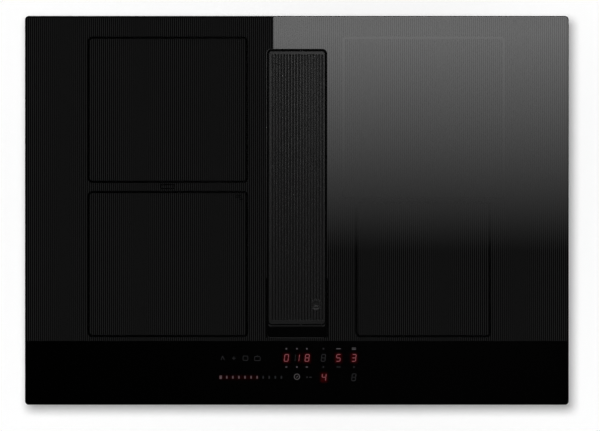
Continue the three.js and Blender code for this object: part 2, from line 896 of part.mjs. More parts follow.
// Slots in the floor below each fan, and slots high in the rear wall where the air leaves again
function panVents() {
  const reach = fanSize / 2 - ventMargin;
  const slots = [];
  for (const side of [-1, 1]) {
    for (let i = 0; i < ventCount; i++) {
      const step = i - (ventCount - 1) / 2;
      const y = fanY + step * ventPitch;
      const x = side * boardX + step * rearVentPitch;
      const z = panFloor + ventRise;
      slots.push(
        block(
          side * fanX - reach,
          side * fanX + reach,
          y - ventWidth / 2,
          y + ventWidth / 2,
          panUnder - past,
          panFloor + past,
        ),
        block(x - ventPitch, x + ventPitch, panY - panWall - past, panY + past, z, z + ventWidth),
      );
    }
  }
  return slots;
}

// Four embossed posts below each board
function boardPosts() {
  const posts = [];
  for (const side of [-1, 1]) {
    for (const [dx, dy] of corners4(boardWidth / 2 - postMargin, boardDepth / 2 - postMargin))
      posts.push(rod(postRadius, side * boardX + dx, boardY + dy, panFloor - panWall / 2, boardUnder, 4));
  }
  return posts;
}

function corners4(x, y) {
  return [
    [-x, -y],
    [x, -y],
    [x, y],
    [-x, y],
  ];
}

function clipScrewHoles() {
  const radius = screwRadius + runningGap;
  return [-clipY, clipY].flatMap((y) => [
    rodAlongX(radius, y, clipScrewZ, -panX - past, -panX + panWall + past),
    rodAlongX(radius, y, clipScrewZ, panX - panWall - past, panX + past),
  ]);
}

function buildPan() {
  const sleeve = (gap, z0, z1) => {
    const x = throatX + gap;
    return raised(rectangle(-x, x, throatFront - gap, throatRear + gap, panSleeveCorner + gap), z0, z1);
  };
  const sleeveTop = panFloor + panSleeveHeight;
  const pan = join(panTray(), sleeve(panSleeveGap + panWall, panUnder, sleeveTop), ...boardPosts());
  return cut(
    pan,
    sleeve(panSleeveGap, panUnder - past, sleeveTop + past),
    rod(wireHoleRadius, wireHoleX, wireHoleY, panUnder - past, panFloor + past, 12),
    ...panVents(),
    ...clipScrewHoles(),
  );
}

hob.add(part("base_pan", galvanised, buildPan()));

// ------------------------------------------------------------------ spring clips

// A bent leaf: a foot screwed to the pan's wall, a bulge that grips the cut-out, and a tail that slides.
// It is drawn for the right wall, with its foot's top at the origin.
function buildClip() {
  const bends = [
    [0, 0],
    [0, 0.42],
    [0.55, 0.62],
    [1, 0.8],
    [0.3, 0.98],
  ];
  const line = bends.map(([out, down]) => [out * clipBulge, -down * clipHeight]);
  const outward = line.map(([x, z]) => [x + clipSheet, z]);
  const strip = runAlongY([...outward, ...line.reverse()], -clipWidth / 2, clipWidth / 2);
  const holeZ = -clipHeight * clipScrewShare;
  return cut(strip, rodAlongX(screwRadius + runningGap, 0, holeZ, -past, clipSheet + past));
}

// A pan-head screw along X, with the underside of its head at the origin
function buildClipScrew() {
  return join(
    rodAlongX(screwHeadRadius, 0, 0, 0, screwHeadHeight),
    rodAlongX(screwRadius, 0, 0, -screwLength, screwHeadHeight / 2),
  );
}

for (const [end, y] of [
  ["front", -clipY],
  ["rear", clipY],
]) {
  for (const [side, turn] of [
    ["left", Math.PI],
    ["right", 0],
  ]) {
    const clip = part(`clip_${side}_${end}`, springSteel, buildClip());
    clip.position.set(panX + seatGap, 0, panTop - panWall - clipFootDrop);
    const screw = part(`clip_screw_${side}_${end}`, galvanised, buildClipScrew());
    screw.position.set(panX + clipSheet + 2 * seatGap, 0, clipScrewZ);
    const pair = placed(0, y, 0, clip, screw);
    pair.rotation.z = turn;
    hob.add(pair);
  }
}

// ------------------------------------------------------------------ cooking zones

const zones = [
  {
    name: "left_rear",
    x: leftZoneX,
    y: leftRearZoneY,
    halfX: leftCoilWidth / 2,
    halfY: leftCoilDepth / 2,
    corner: leftCoilCorner,
  },
  {
    name: "left_front",
    x: leftZoneX,
    y: leftFrontZoneY,
    halfX: leftCoilWidth / 2,
    halfY: leftCoilDepth / 2,
    corner: leftCoilCorner,
  },
  {
    name: "right_rear",
    x: rightZoneX,
    y: rightRearZoneY,
    halfX: rightRearCoilRadius,
    halfY: rightRearCoilRadius,
    corner: rightRearCoilRadius - zoneCornerTrim,
  },
  {
    name: "right_front",
    x: rightZoneX,
    y: rightFrontZoneY,
    halfX: rightFrontCoilRadius,
    halfY: rightFrontCoilRadius,
    corner: rightFrontCoilRadius - zoneCornerTrim,
  },
];

// A zone's outline, drawn in by an inset, about the zone's own middle
function zoneOutline({ halfX, halfY, corner }, inset) {
  const radius = Math.max(corner - inset, coilLeastCorner);
  return rectangle(-halfX + inset, halfX - inset, -halfY + inset, halfY - inset, radius);
}

// The winding: a flat ring whose turns show as grooves
function buildCoil(zone) {
  const holeInset = zone.halfY * (1 - coilHoleShare);
  const pitch = holeInset / (coilGrooves + 1);
  const cuts = [raised(zoneOutline(zone, holeInset), coilUnder - past, coilTop + past)];
  for (let i = 1; i <= coilGrooves; i++) {
    const outer = raised(zoneOutline(zone, i * pitch), coilTop - coilGrooveDepth, coilTop + past);
    const inner = raised(zoneOutline(zone, i * pitch + coilGrooveWidth), coilUnder, coilTop + 2 * past);
    cuts.push(cut(outer, inner));
  }
  return cut(raised(zoneOutline(zone, 0), coilUnder, coilTop), ...cuts);
}

// The moulded disc that carries the winding, with a star of ferrite bars below it
function buildCoilBase(zone) {
  const disc = raised(zoneOutline(zone, coilBaseInset), baseUnder, coilUnder);
  const inner = zone.halfY * coilHoleShare;
  const bars = [];
  for (let i = 0; i < ferriteBars; i++) {
    const angle = ((i + 0.5) / ferriteBars) * 2 * Math.PI;
    const length = zone.halfY * ferriteReach;
    const bar = new THREE.BoxGeometry(length - inner, ferriteWidth, ferriteThickness + past);
    bar.translate((length + inner) / 2, 0, (ferriteUnder + baseUnder + past) / 2).rotateZ(angle);
    bars.push(solid(bar));
  }
  return join(disc, ...bars);
}

function buildHeatSensor() {
  return join(
    rod(sensorRadius, 0, 0, coilUnder, coilTop, 14),
    rod(sensorTipRadius, 0, 0, coilTop - past, coilTop + sensorRise, 10),
  );
}

for (const zone of zones) {
  hob.add(
    placed(
      zone.x,
      zone.y,
      0,
      part(`coil_${zone.name}`, copper, buildCoil(zone)),
      part(`coil_base_${zone.name}`, ferrite, buildCoilBase(zone)),
      part(`heat_sensor_${zone.name}`, greyPlastic, buildHeatSensor()),
    ),
  );
}

// An aluminium shield below both coils of a side, on six folded legs
function buildCoilPlate(side) {
  const own = zones.filter((zone) => Math.sign(zone.x) === side);
  const x0 = Math.min(...own.map((zone) => zone.x - zone.halfX)) - coilPlateMargin;
  const x1 = Math.max(...own.map((zone) => zone.x + zone.halfX)) + coilPlateMargin;
  const y0 = Math.min(...own.map((zone) => zone.y - zone.halfY)) - coilPlateMargin;
  const y1 = Math.max(...own.map((zone) => zone.y + zone.halfY)) + coilPlateMargin;
  const plate = block(x0, x1, y0, y1, coilPlateUnder, ferriteUnder);
  const legs = [y0 + legWidth, coilPlateMiddleY, y1 - legWidth / 2].flatMap((y) => [
    block(x0, x0 + legThickness, y - legWidth / 2, y + legWidth / 2, panFloor, coilPlateUnder + past),
    block(x1 - legThickness, x1, y - legWidth / 2, y + legWidth / 2, panFloor, coilPlateUnder + past),
  ]);
  return join(plate, ...legs);
}

hob.add(
  part("coil_plate_left", aluminium, buildCoilPlate(-1)),
  part("coil_plate_right", aluminium, buildCoilPlate(1)),
);

// ------------------------------------------------------------------ power electronics

// A board about its own middle, with its large components: capacitors, chokes and a relay
function buildPowerBoard() {
  const x = boardWidth / 2;
  const y = boardDepth / 2;
  const sunk = boardTop - boardThickness / 2;
  const capacitorX = x - componentMargin - capacitorSize / 2;
  const chokeX = -x + componentMargin + chokeRadius;
  const relayX = -x + componentMargin;
  const relayY = y - componentMargin - relayDepth;
  const components = [
    ...[-1, 0, 1].map((i) =>
      block(
        capacitorX - capacitorSize / 2,
        capacitorX + capacitorSize / 2,
        i * capacitorPitch - capacitorSize / 2,
        i * capacitorPitch + capacitorSize / 2,
        sunk,
        boardTop + capacitorHeight,
      ),
    ),
    ...[-1, 0].map((i) => rod(chokeRadius, chokeX, i * chokePitch, sunk, boardTop + chokeHeight, 12)),
    block(relayX, relayX + relayWidth, relayY, relayY + relayDepth, sunk, boardTop + relayHeight),
  ];
  return join(block(-x, x, -y, y, boardUnder, boardTop), ...components);
}

function buildHeatSink() {
  const x = sinkWidth / 2;
  const y = sinkLength / 2;
  const fins = [];
  for (let i = 0; i < sinkFins; i++) {
    const fin = -x + (i * (sinkWidth - finThickness)) / (sinkFins - 1);
    fins.push(block(fin, fin + finThickness, -y, y, boardTop + sinkBase / 2, boardTop + sinkHeight));
  }
  return join(block(-x, x, -y, y, boardTop, boardTop + sinkBase), ...fins);
}

// A square fan housing with a round bore, and a spider at its foot that carries the rotor's stub
function buildFanFrame() {
  const half = fanSize / 2;
  const bore = half - fanWall;
  const shell = cut(
    raised(rectangle(-half, half, -half, half, fanCorner), fanUnder, fanUnder + fanHeight),
    rod(bore, 0, 0, fanUnder - past, fanUnder + fanHeight + past, 20),
  );
  const arms = [];
  for (let i = 0; i < fanArms; i++) {
    const arm = new THREE.BoxGeometry(bore + past, fanArmWidth, fanFloor);
    arm.translate((bore + past) / 2, 0, fanUnder + fanFloor / 2);
    arm.rotateZ(((i + 0.25) / fanArms) * 2 * Math.PI);
    arms.push(solid(arm));
  }
  return join(
    shell,
    ...arms,
    rod(fanHubRadius, 0, 0, fanUnder, fanUnder + fanFloor, 12),
    rod(fanStubRadius, 0, 0, fanUnder + fanFloor / 2, fanUnder + fanHeight - 2 * fanFloor, 10),
  );
}

function buildFanRotor() {
  const under = fanUnder + fanFloor + fanRotorGap;
  const top = fanUnder + fanHeight - fanRotorDrop;
  const tip = fanSize / 2 - fanWall - fanTipGap;
  const blades = [];
  for (let i = 0; i < fanBladeCount; i++) {
    const root = fanHubRadius - 2 * past;
    const blade = new THREE.BoxGeometry(tip - root, fanBladeChord, fanBladeThickness);
    blade.rotateX(THREE.MathUtils.degToRad(fanBladePitch));
    blade.translate((tip + root) / 2, 0, (under + top) / 2);
    blades.push(solid(blade.rotateZ((i / fanBladeCount) * 2 * Math.PI)));
  }
  const bore = rod(fanStubRadius + runningGap, 0, 0, under - past, top - fanFloor, 10);
  return cut(join(rod(fanHubRadius, 0, 0, under, top, 14), ...blades), bore);
}

for (const [name, side] of [
  ["left", -1],
  ["right", 1],
]) {
  hob.add(
    placed(side * boardX, boardY, 0, part(`power_board_${name}`, circuitBoard, buildPowerBoard())),
    placed(side * boardX + sinkShift, boardY, 0, part(`heat_sink_${name}`, aluminium, buildHeatSink())),
    placed(
      side * fanX,
      fanY,
      0,
      part(`fan_frame_${name}`, blackPlastic, buildFanFrame()),
      placed(0, 0, 0, part(`fan_rotor_${name}`, greyPlastic, buildFanRotor())),
    ),
  );
}

// ------------------------------------------------------------------ touch controls

const touchFront = -glassY + touchBoardFromFront;
const touchRear = touchFront + touchBoardDepth;
const trayUnder = panTop - touchTrayHeight;
const touchX = touchBoardWidth / 2;

// The board carries one raised display module below each digit on the glass.
function buildTouchBoard() {
  const under = trayUnder + touchTrayWall;
  const board = block(-touchX, touchX, touchFront, touchRear, under, under + boardThickness);
  const digitY = touchRear - digitRowSetback;
  const modules = digitPlaces.map((x) =>
    block(
      x - digitWidth / 2,
      x + digitWidth / 2,
      digitY - digitDepth / 2,
      digitY + digitDepth / 2,
      under + boardThickness / 2,
      panTop,
    ),
  );
  return join(board, ...modules);
}

// An open tray on four legs holds the board up below the glass.
function buildTouchTray() {
  const x = touchX + seatGap;
  const front = touchFront - seatGap;
  const rear = touchRear + seatGap;
  const wall = touchTrayWall;
  const shell = cut(
    block(-x - wall, x + wall, front - wall, rear + wall, trayUnder, panTop),
    block(-x, x, front, rear, trayUnder + wall, panTop + past),
  );
  const leg = touchLegWidth / 2;
  const middle = (touchFront + touchRear) / 2;
  const legs = corners4(touchX - touchLegWidth, touchBoardDepth / 2 - touchLegWidth).map(([dx, dy]) =>
    block(dx - leg, dx + leg, middle + dy - leg, middle + dy + leg, panFloor, trayUnder + wall / 2),
  );
  return join(shell, ...legs);
}

hob.add(
  part("touch_board", circuitBoard, buildTouchBoard()),
  part("touch_tray", blackPlastic, buildTouchTray()),
);

// ------------------------------------------------------------------ mains connection

const terminalRear = terminalY + terminalDepth / 2;
const glandZ = panUnder - terminalHeight / 2;

// The box hangs below the pan, over the hole for the wires, and the gland screws into its rear wall.
function buildTerminalBox() {
  const x0 = terminalX - terminalWidth / 2;
  const x1 = terminalX + terminalWidth / 2;
  const y0 = terminalY - terminalDepth / 2;
  const wall = mouldWall;
  const shell = raised(
    rectangle(x0, x1, y0, terminalRear, terminalCorner),
    panUnder - terminalHeight,
    panUnder,
  );
  const hollow = raised(
    rectangle(x0 + wall, x1 - wall, y0 + wall, terminalRear - wall, terminalCorner - wall),
    panUnder - terminalHeight + wall,
    panUnder + past,
  );
  const hole = rodAlongY(
    glandRadius - glandStep + seatGap,
    terminalX,
    glandZ,
    terminalRear - wall - past,
    terminalRear + past,
  );
  return cut(shell, hollow, hole);
}

function buildGland() {
  const neck = glandRadius - glandStep;
  return cut(
    join(
      rodAlongY(glandRadius, terminalX, glandZ, terminalRear + seatGap, terminalRear + glandLength, 6),
      rodAlongY(neck, terminalX, glandZ, terminalRear - mouldWall - glandStep, terminalRear + past),
    ),
    rodAlongY(glandBore, terminalX, glandZ, terminalRear - glandLength, terminalRear + glandLength + past),
  );
}

hob.add(
  part("terminal_box", greyPlastic, buildTerminalBox()),
  part("cable_gland", blackPlastic, buildGland()),
);

// ------------------------------------------------------------------ air housing

// The scroll's radius grows evenly from its tongue round to where it runs straight to the outlet.
function scrollRadiusAt(degrees) {
  const share = (degrees - scrollStartAngle) / (360 - scrollStartAngle);
  return scrollStartRadius + share * (scrollEndRadius - scrollStartRadius);
}

function ductForm(inset, z0, z1) {
  const radius = Math.max(mouldRadius - inset, mouldLeastRadius);
  const outline = rectangle(
    -ductX + inset,
    ductX - inset,
    ductFrontY + inset,
    ductRearY - inset,
    radius,
  );
  return raised(outline, z0, z1);
}

// The spiral round the wheel, and the channel that widens from the tongue to the rear outlet
function scrollForm(inset, z0, z1, rearY = scrollRearY) {
  const polar = (degrees, radius) => {
    const angle = THREE.MathUtils.degToRad(degrees);
    return new THREE.Vector2(scrollX + radius * Math.cos(angle), scrollY + radius * Math.sin(angle));
  };
  const spiral = [new THREE.Vector2(scrollX, scrollY)];
  for (let k = 0; k <= scrollSteps; k++) {
    const degrees = scrollStartAngle + ((360 - scrollStartAngle) * k) / scrollSteps;
    spiral.push(polar(degrees, scrollRadiusAt(degrees) - inset));
  }
  const tongue = polar(scrollStartAngle, scrollStartRadius);
  const channel = [
    new THREE.Vector2(scrollX, scrollY),
    new THREE.Vector2(outletRight - inset, scrollY),
    new THREE.Vector2(outletRight - inset, rearY),
    new THREE.Vector2(outletLeft + inset, rearY),
    new THREE.Vector2(outletLeft + inset, scrollRearY - outletStraight),
    new THREE.Vector2(tongue.x + inset, tongue.y),
    polar(scrollStartAngle, scrollStartRadius - inset),
  ];
  return join(raised(new THREE.Shape(spiral), z0, z1), raised(new THREE.Shape(channel), z0, z1));
}

function plenumForm(inset, z0, z1) {
  const reach = rectangle(
    0,
    scrollX + plenumBlowerReach - inset,
    scrollY - plenumBlowerHalf + inset,
    scrollY + plenumBlowerHalf - inset,
    Math.max(mouldRadius - inset, mouldLeastRadius),
  );
  return join(ductForm(inset, z0, z1), raised(reach, z0, z1));
}

// The upper half spans from the throat's foot to the blower's eye.
function buildPlenum() {
  const throat = rectangle(
    -throatX - seatGap,
    throatX + seatGap,
    throatFront - seatGap,
    throatRear + seatGap,
    throatCorner + throatWall + seatGap,
  );
  return cut(
    join(
      plenumForm(0, plenumUnder, plenumTop),
      plenumForm(-flangeReach, plenumUnder, plenumUnder + mouldWall),
    ),
    plenumForm(mouldWall, plenumUnder - past, plenumTop - mouldWall),
    raised(throat, plenumTop - mouldWall - past, plenumTop + past),
  );
}

// The plate between the halves has a round hole over the wheel. Liquid passes it to the sump.
function buildInletPlate() {
  const plate = join(
    plenumForm(-flangeReach, plateUnder, plateTop),
    scrollForm(-flangeReach, plateUnder, plateTop),
  );
  const radius = eyeRadius + bellNeck + seatGap;
  const hole = rod(radius, scrollX, scrollY, plateUnder - past, plateTop + past, eyeSides);
  return cut(plate, hole, ductForm(flangeReach * 2, plateUnder - past, plateTop + past));
}

// The bell hangs in the plate's hole by its flange and leads the air into the wheel.
function buildInletBell() {
  const lip = plateUnder - bellDrop;
  return turned(
    [
      [eyeRadius, lip],
      [eyeRadius + bellLip, lip],
      [eyeRadius + bellNeck, plateUnder],
      [eyeRadius + bellNeck, plateTop],
      [eyeRadius + bellFlange, plateTop],
      [eyeRadius + bellFlange, plateTop + bellFlangeHeight],
      [eyeRadius + bellNeck, plateTop + bellFlangeHeight],
      [eyeRadius + bellLip, plateUnder],
    ],
    scrollX,
    scrollY,
    eyeSides,
  );
}

// The scroll round the wheel, open at the top and at its outlet
function buildScroll() {
  return cut(
    scrollForm(0, scrollUnder, scrollTop),
    scrollForm(mouldWall, scrollFloor, scrollTop + past, scrollRearY + past),
  );
}

// The sump below the duct catches liquid. Its floor opens into the tank, inside a skirt that guides the tank.
function buildSump() {
  const skirt = (gap, z0, z1) =>
    raised(
      rectangle(
        -tankWidth / 2 - gap,
        tankWidth / 2 + gap,
        drainY - tankLength / 2 - gap,
        drainY + tankLength / 2 + gap,
        tankCorner + gap,
      ),
      z0,
      z1,
    );
  const drain = rectangle(
    -tankWidth / 2 + drainMargin,
    tankWidth / 2 - drainMargin,
    drainY - tankLength / 2 + drainMargin,
    drainY + tankLength / 2 - drainMargin,
    drainCorner,
  );
  const whole = join(
    ductForm(0, sumpUnder, scrollTop),
    skirt(skirtGap + skirtWall, sumpUnder - skirtHeight, sumpUnder + past),
  );
  return cut(
    whole,
    ductForm(mouldWall, sumpUnder + mouldWall, scrollTop + past),
    skirt(skirtGap, sumpUnder - skirtHeight - past, sumpUnder),
    raised(drain, sumpUnder - past, sumpUnder + mouldWall + past),
  );
}

// The flat duct spigot at the back, with a flange that closes on the scroll's outlet
function buildSpigot() {
  const x = (outletLeft + outletRight) / 2;
  const z = (scrollUnder + scrollTop) / 2;
  const start = scrollRearY + seatGap;
  const tube = (inset, y0, y1) =>
    runAlongY(
      rectangle(
        x - spigotWidth / 2 + inset,
        x + spigotWidth / 2 - inset,
        z - spigotHeight / 2 + inset,
        z + spigotHeight / 2 - inset,
        spigotCorner - inset,
      )
        .getPoints()
        .map((point) => [point.x, point.y]),
      y0,
      y1,
    );
  const flange = block(
    x - spigotWidth / 2 - flangeReach,
    x + spigotWidth / 2 + flangeReach,
    start,
    start + spigotFlange,
    scrollUnder,
    scrollTop,
  );
  return cut(
    join(flange, tube(0, start, start + spigotFlange + spigotLength)),
    tube(spigotWall, start - past, start + spigotFlange + spigotLength + past),
  );
}

hob.add(
  part("plenum_upper", blackPlastic, buildPlenum()),
  part("inlet_plate", blackPlastic, buildInletPlate()),
  part("inlet_bell", greyPlastic, buildInletBell()),
  part("scroll_housing", blackPlastic, buildScroll()),
  part("drip_sump", blackPlastic, buildSump()),
  part("duct_spigot", greyPlastic, buildSpigot()),
);

// ------------------------------------------------------------------ blower

// The wheel's hub is a cup over the motor. Its floor carries a ring of blades that curve forward, and a
// band ties the blades' tops.
function buildImpeller() {
  const cup = motorRadius + cupGap;
  const disc = motorTop + cupDiscGap;
  const bore = shaftRadius + runningGap;
  const hub = turned(
    [
      [bore, disc - wheelPlate],
      [cup, disc - wheelPlate],
      [cup, wheelUnder],
      [impellerRadius, wheelUnder],
      [impellerRadius, wheelUnder + wheelPlate],
      [cup + wheelPlate, wheelUnder + wheelPlate],
      [cup + wheelPlate, disc],
      [bore + hubBossWall, disc],
      [bore + hubBossWall - hubBossDraft, disc + hubBoss],
      [bore, disc + hubBoss],
    ],
    0,
    0,
    20,
  );
  const band = turned(
    [
      [impellerRadius - bandWidth, wheelTop - bandHeight],
      [impellerRadius, wheelTop - bandHeight],
      [impellerRadius, wheelTop],
      [impellerRadius - bandWidth, wheelTop],
    ],
    0,
    0,
    20,
  );
  const blades = [];
  for (let i = 0; i < bladeCount; i++) blades.push(blade((i / bladeCount) * 2 * Math.PI));
  return join(hub, band, ...blades);
}

// One blade: a thin arc that leaves the wheel's inner edge and leans forward as it nears the rim
function blade(angle) {
  const steps = 2;
  const inner = impellerRadius - bladeDepth;
  const line = (shift) => {
    const points = [];
    for (let k = 0; k <= steps; k++) {
      const share = k / steps;
      const radius = inner + share * (bladeDepth - bladeTipInset);
      const lean = angle + bladeLean * share ** 2 + shift / radius;
      points.push(new THREE.Vector2(radius * Math.cos(lean), radius * Math.sin(lean)));
    }
    return points;
  };
  const outline = [...line(-bladeThickness / 2), ...line(bladeThickness / 2).reverse()];
  return raised(new THREE.Shape(outline), wheelUnder + wheelPlate / 2, wheelTop - bandHeight / 2);
}

function buildMotor() {
  const bore = shaftRadius + runningGap;
  return turned(
    [
      [0, motorUnder],
      [motorRadius, motorUnder],
      [motorRadius, motorTop - motorShoulder],
      [motorRadius - motorShoulder, motorTop - bearingHeight],
      [bearingRadius, motorTop - bearingHeight],
      [bearingRadius, motorTop],
      [bore, motorTop],
      [bore, motorTop - shaftSink],
      [0, motorTop - shaftSink],
    ],
    0,
    0,
    20,
  );
}

// A disc with three feet that bolts the motor to the scroll's floor
function buildMotorMount() {
  const feet = [];
  for (let i = 0; i < mountFeet; i++) {
    const foot = new THREE.BoxGeometry(mountReach, mountWidth, mountHeight);
    foot.translate(mountReach / 2 + motorRadius - mountLap, 0, scrollFloor + mountHeight / 2);
    feet.push(solid(foot.rotateZ((i / mountFeet) * 2 * Math.PI)));
  }
  return join(rod(motorRadius - mountInset, 0, 0, scrollFloor, scrollFloor + mountHeight, 20), ...feet);
}

hob.add(
  placed(
    scrollX,
    scrollY,
    0,
    part("motor_mount", galvanised, buildMotorMount()),
    part("blower_motor", galvanised, buildMotor()),
    placed(
      0,
      0,
      0,
      part("blower_wheel", blackPlastic, buildImpeller()),
      part(
        "motor_shaft",
        springSteel,
        rod(
          shaftRadius,
          0,
          0,
          motorTop - shaftSink + shaftEndGap,
          motorTop + cupDiscGap + hubBoss + shaftStub,
          16,
        ),
      ),
    ),
  ),
);

// ------------------------------------------------------------------ tank

// The tank is drawn about its own middle, and pulls straight down out of the skirt.
function tankOutline(inset) {
  const x = tankWidth / 2 - inset;
  const y = tankLength / 2 - inset;
  return rectangle(-x, x, -y, y, tankCorner - inset);
}

function buildTank() {
  const shell = raised(tankOutline(0), scrollUnder, tankTop);
  const lipZ = tankTop - skirtHeight + sealHeight - gripSkirtGap;
  const grips = [-1, 1].map((side) => {
    const y = (side * tankLength) / 2;
    return block(-gripWidth / 2, gripWidth / 2, y - gripReach, y + gripReach, lipZ - gripHeight, lipZ);
  });
  return cut(join(shell, ...grips), raised(tankOutline(tankWall), scrollUnder + tankWall, tankTop + past));
}

function buildTankSeal() {
  return cut(
    raised(tankOutline(0), tankTop, tankTop + sealHeight),
    raised(tankOutline(sealWidth), tankTop - past, tankTop + sealHeight + past),
  );
}

hob.add(
  placed(
    0,
    drainY,
    0,
    part("liquid_tank", tankPlastic, buildTank()),
    part("tank_seal", rubber, buildTankSeal()),
  ),
);

export default hob;
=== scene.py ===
# %% [markdown]
# # Downdraft induction cooktop
#
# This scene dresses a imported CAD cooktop: a black glass plate with four cooking zones, and in its middle a
# ribbed flap over an air slot. Under the glass are a steel pan, an air housing with its blower, a flat duct
# and a drip tank. The CAD solids fix every size and place. Blender adds finishes, fine edges, the print on
# the glass and the lit display.

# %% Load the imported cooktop
import json
import math

import bmesh
import bpy
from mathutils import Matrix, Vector


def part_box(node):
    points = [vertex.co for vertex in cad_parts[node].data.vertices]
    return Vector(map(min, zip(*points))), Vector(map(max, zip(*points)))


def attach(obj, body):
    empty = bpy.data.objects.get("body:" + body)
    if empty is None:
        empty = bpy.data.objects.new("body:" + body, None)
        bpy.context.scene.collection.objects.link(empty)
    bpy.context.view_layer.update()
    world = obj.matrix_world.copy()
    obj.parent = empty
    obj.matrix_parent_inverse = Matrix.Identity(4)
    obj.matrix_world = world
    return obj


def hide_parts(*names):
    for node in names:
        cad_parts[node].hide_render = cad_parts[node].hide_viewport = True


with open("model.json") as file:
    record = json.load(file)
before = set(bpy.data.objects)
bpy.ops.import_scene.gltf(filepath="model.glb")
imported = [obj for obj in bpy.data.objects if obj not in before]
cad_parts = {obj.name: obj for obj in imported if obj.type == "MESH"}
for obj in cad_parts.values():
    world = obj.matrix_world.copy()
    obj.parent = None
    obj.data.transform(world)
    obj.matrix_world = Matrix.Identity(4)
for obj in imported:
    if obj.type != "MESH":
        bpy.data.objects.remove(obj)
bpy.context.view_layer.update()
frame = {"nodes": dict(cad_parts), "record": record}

# %% [markdown]
# ## Measures
#
# The main boxes of the frame are read once, and later cells place their pieces from them.

# %% Millimetres and the boxes that pieces are placed by
MM = 0.001

glass_low, glass_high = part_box("glass_top")
flap_low, flap_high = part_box("flap_plate")
_, frame_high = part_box("slot_frame")
tank_low, tank_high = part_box("liquid_tank")

# The hob hangs in a worktop, so the floor lies clear of the drip tank, also when the tank is lowered.
TANK_TRAVEL = 70 * MM
FLOOR_CLEARANCE = 2 * MM
floor_z = tank_low.z - TANK_TRAVEL - FLOOR_CLEARANCE
glass_size = (glass_high - glass_low) / MM
print("glass is", round(glass_size.x), "x", round(glass_size.y), "mm")


# %% Helper: an object in the scene
def add_object(name, data):
    made = bpy.data.objects.new(name, data)
    bpy.context.scene.collection.objects.link(made)
    return made


# %% [markdown]
# ## Camera
#
# The cooktop is seen from straight above. A long lens far away shows no side walls, as in a product
# picture. The field of view is set by how much of the glass's plane the picture spans, so the lens and the
# distance stay tied to each other.

# %% Camera above the glass
VIEW_HALF_WIDTH = 397.25 * MM
VIEW_CENTRE = Vector((4.17, -6.8)) * MM
LENS = 800.0
SENSOR = 36.0

camera_height = VIEW_HALF_WIDTH * LENS / (SENSOR / 2)
camera_data = bpy.data.cameras.new("camera_above")
camera_data.sensor_width = SENSOR
camera_data.lens = LENS
camera_data.clip_end = 2 * camera_height
camera = add_object("camera_above", camera_data)
camera.location = (VIEW_CENTRE.x, VIEW_CENTRE.y, glass_high.z + camera_height)
bpy.context.scene.camera = camera
bpy.context.scene.view_settings.view_transform = "Standard"
print("camera stands", round(camera_height, 2), "m above the glass")

# %% [markdown]
# ## Node helpers
#
# Every finish below is built from shader nodes. Helpers keep that readable: most add one node and take
# plain numbers or other nodes' outputs, and one opens a node group with named inputs and outputs.

# %% Helpers for shader nodes
def feed(tree, socket, value):
    if isinstance(value, bpy.types.NodeSocket):
        tree.links.new(value, socket)
    else:
        socket.default_value = value


def maths(tree, operation, *values):
    node = tree.nodes.new("ShaderNodeMath")
    node.operation = operation
    for socket, value in zip(node.inputs, values):
        feed(tree, socket, value)
    return node.outputs[0]


def plus(tree, first, second):
    return maths(tree, "ADD", first, second)


def minus(tree, first, second):
    return maths(tree, "SUBTRACT", first, second)


def times(tree, first, second):
    return maths(tree, "MULTIPLY", first, second)


def larger(tree, first, second):
    return maths(tree, "MAXIMUM", first, second)


def absolute(tree, value):
    return maths(tree, "ABSOLUTE", value)


def vector_maths(tree, operation, *values, output=0):
    node = tree.nodes.new("ShaderNodeVectorMath")
    node.operation = operation
    for socket, value in zip(node.inputs, values):
        feed(tree, socket, value)
    return node.outputs[output]


def remap(tree, value, low, high, to_low=0.0, to_high=1.0, smooth=False):
    node = tree.nodes.new("ShaderNodeMapRange")
    if smooth:
        node.interpolation_type = "SMOOTHSTEP"
    names = ("Value", "From Min", "From Max", "To Min", "To Max")
    for name, number in zip(names, (value, low, high, to_low, to_high)):
        feed(tree, node.inputs[name], number)
    return node.outputs["Result"]


def blend(tree, share, first, second, kind="RGBA"):
    node = tree.nodes.new("ShaderNodeMix")
    node.data_type = kind
    for name, value in (("Factor", share), ("A", first), ("B", second)):
        feed(tree, node.inputs[name], value)
    return node.outputs["Result"]


def split_point(tree, point):
    node = tree.nodes.new("ShaderNodeSeparateXYZ")
    feed(tree, node.inputs[0], point)
    return node.outputs


def noise(tree, point, scale, detail=2.0):
    node = tree.nodes.new("ShaderNodeTexNoise")
    for name, value in (("Vector", point), ("Scale", scale), ("Detail", detail)):
        feed(tree, node.inputs[name], value)
    return node.outputs["Fac"]


def coordinates(tree, kind="Object"):
    return tree.nodes.new("ShaderNodeTexCoord").outputs[kind]


def open_group(name, inputs, outputs):
    """A new node group with inputs of the kinds of their defaults, float outputs, and its inner sockets."""
    tree = bpy.data.node_groups.new(name, "ShaderNodeTree")
    for label, default in inputs.items():
        kind = "NodeSocketFloat" if isinstance(default, float) else "NodeSocketVector"
        tree.interface.new_socket(label, in_out="INPUT", socket_type=kind).default_value = default
    for label in outputs:
        tree.interface.new_socket(label, in_out="OUTPUT", socket_type="NodeSocketFloat")
    return tree, tree.nodes.new("NodeGroupInput").outputs, tree.nodes.new("NodeGroupOutput").inputs


def use_group(tree, group, **values):
    node = tree.nodes.new("ShaderNodeGroup")
    node.node_tree = group
    for label, value in values.items():
        feed(tree, node.inputs[label.replace("_", " ")], value)
    return node.outputs


def grey(level):
    return (level, level, level, 1.0)


# %% Helper for a finish
def finish(name, **sockets):
    """A new material and its Principled BSDF, with values that are the same all over set on its sockets."""
    material = bpy.data.materials.new(name)
    material.use_nodes = True
    shader = material.node_tree.nodes["Principled BSDF"]
    for label, value in sockets.items():
        shader.inputs[label.replace("_", " ")].default_value = value
    return material, material.node_tree, shader.inputs


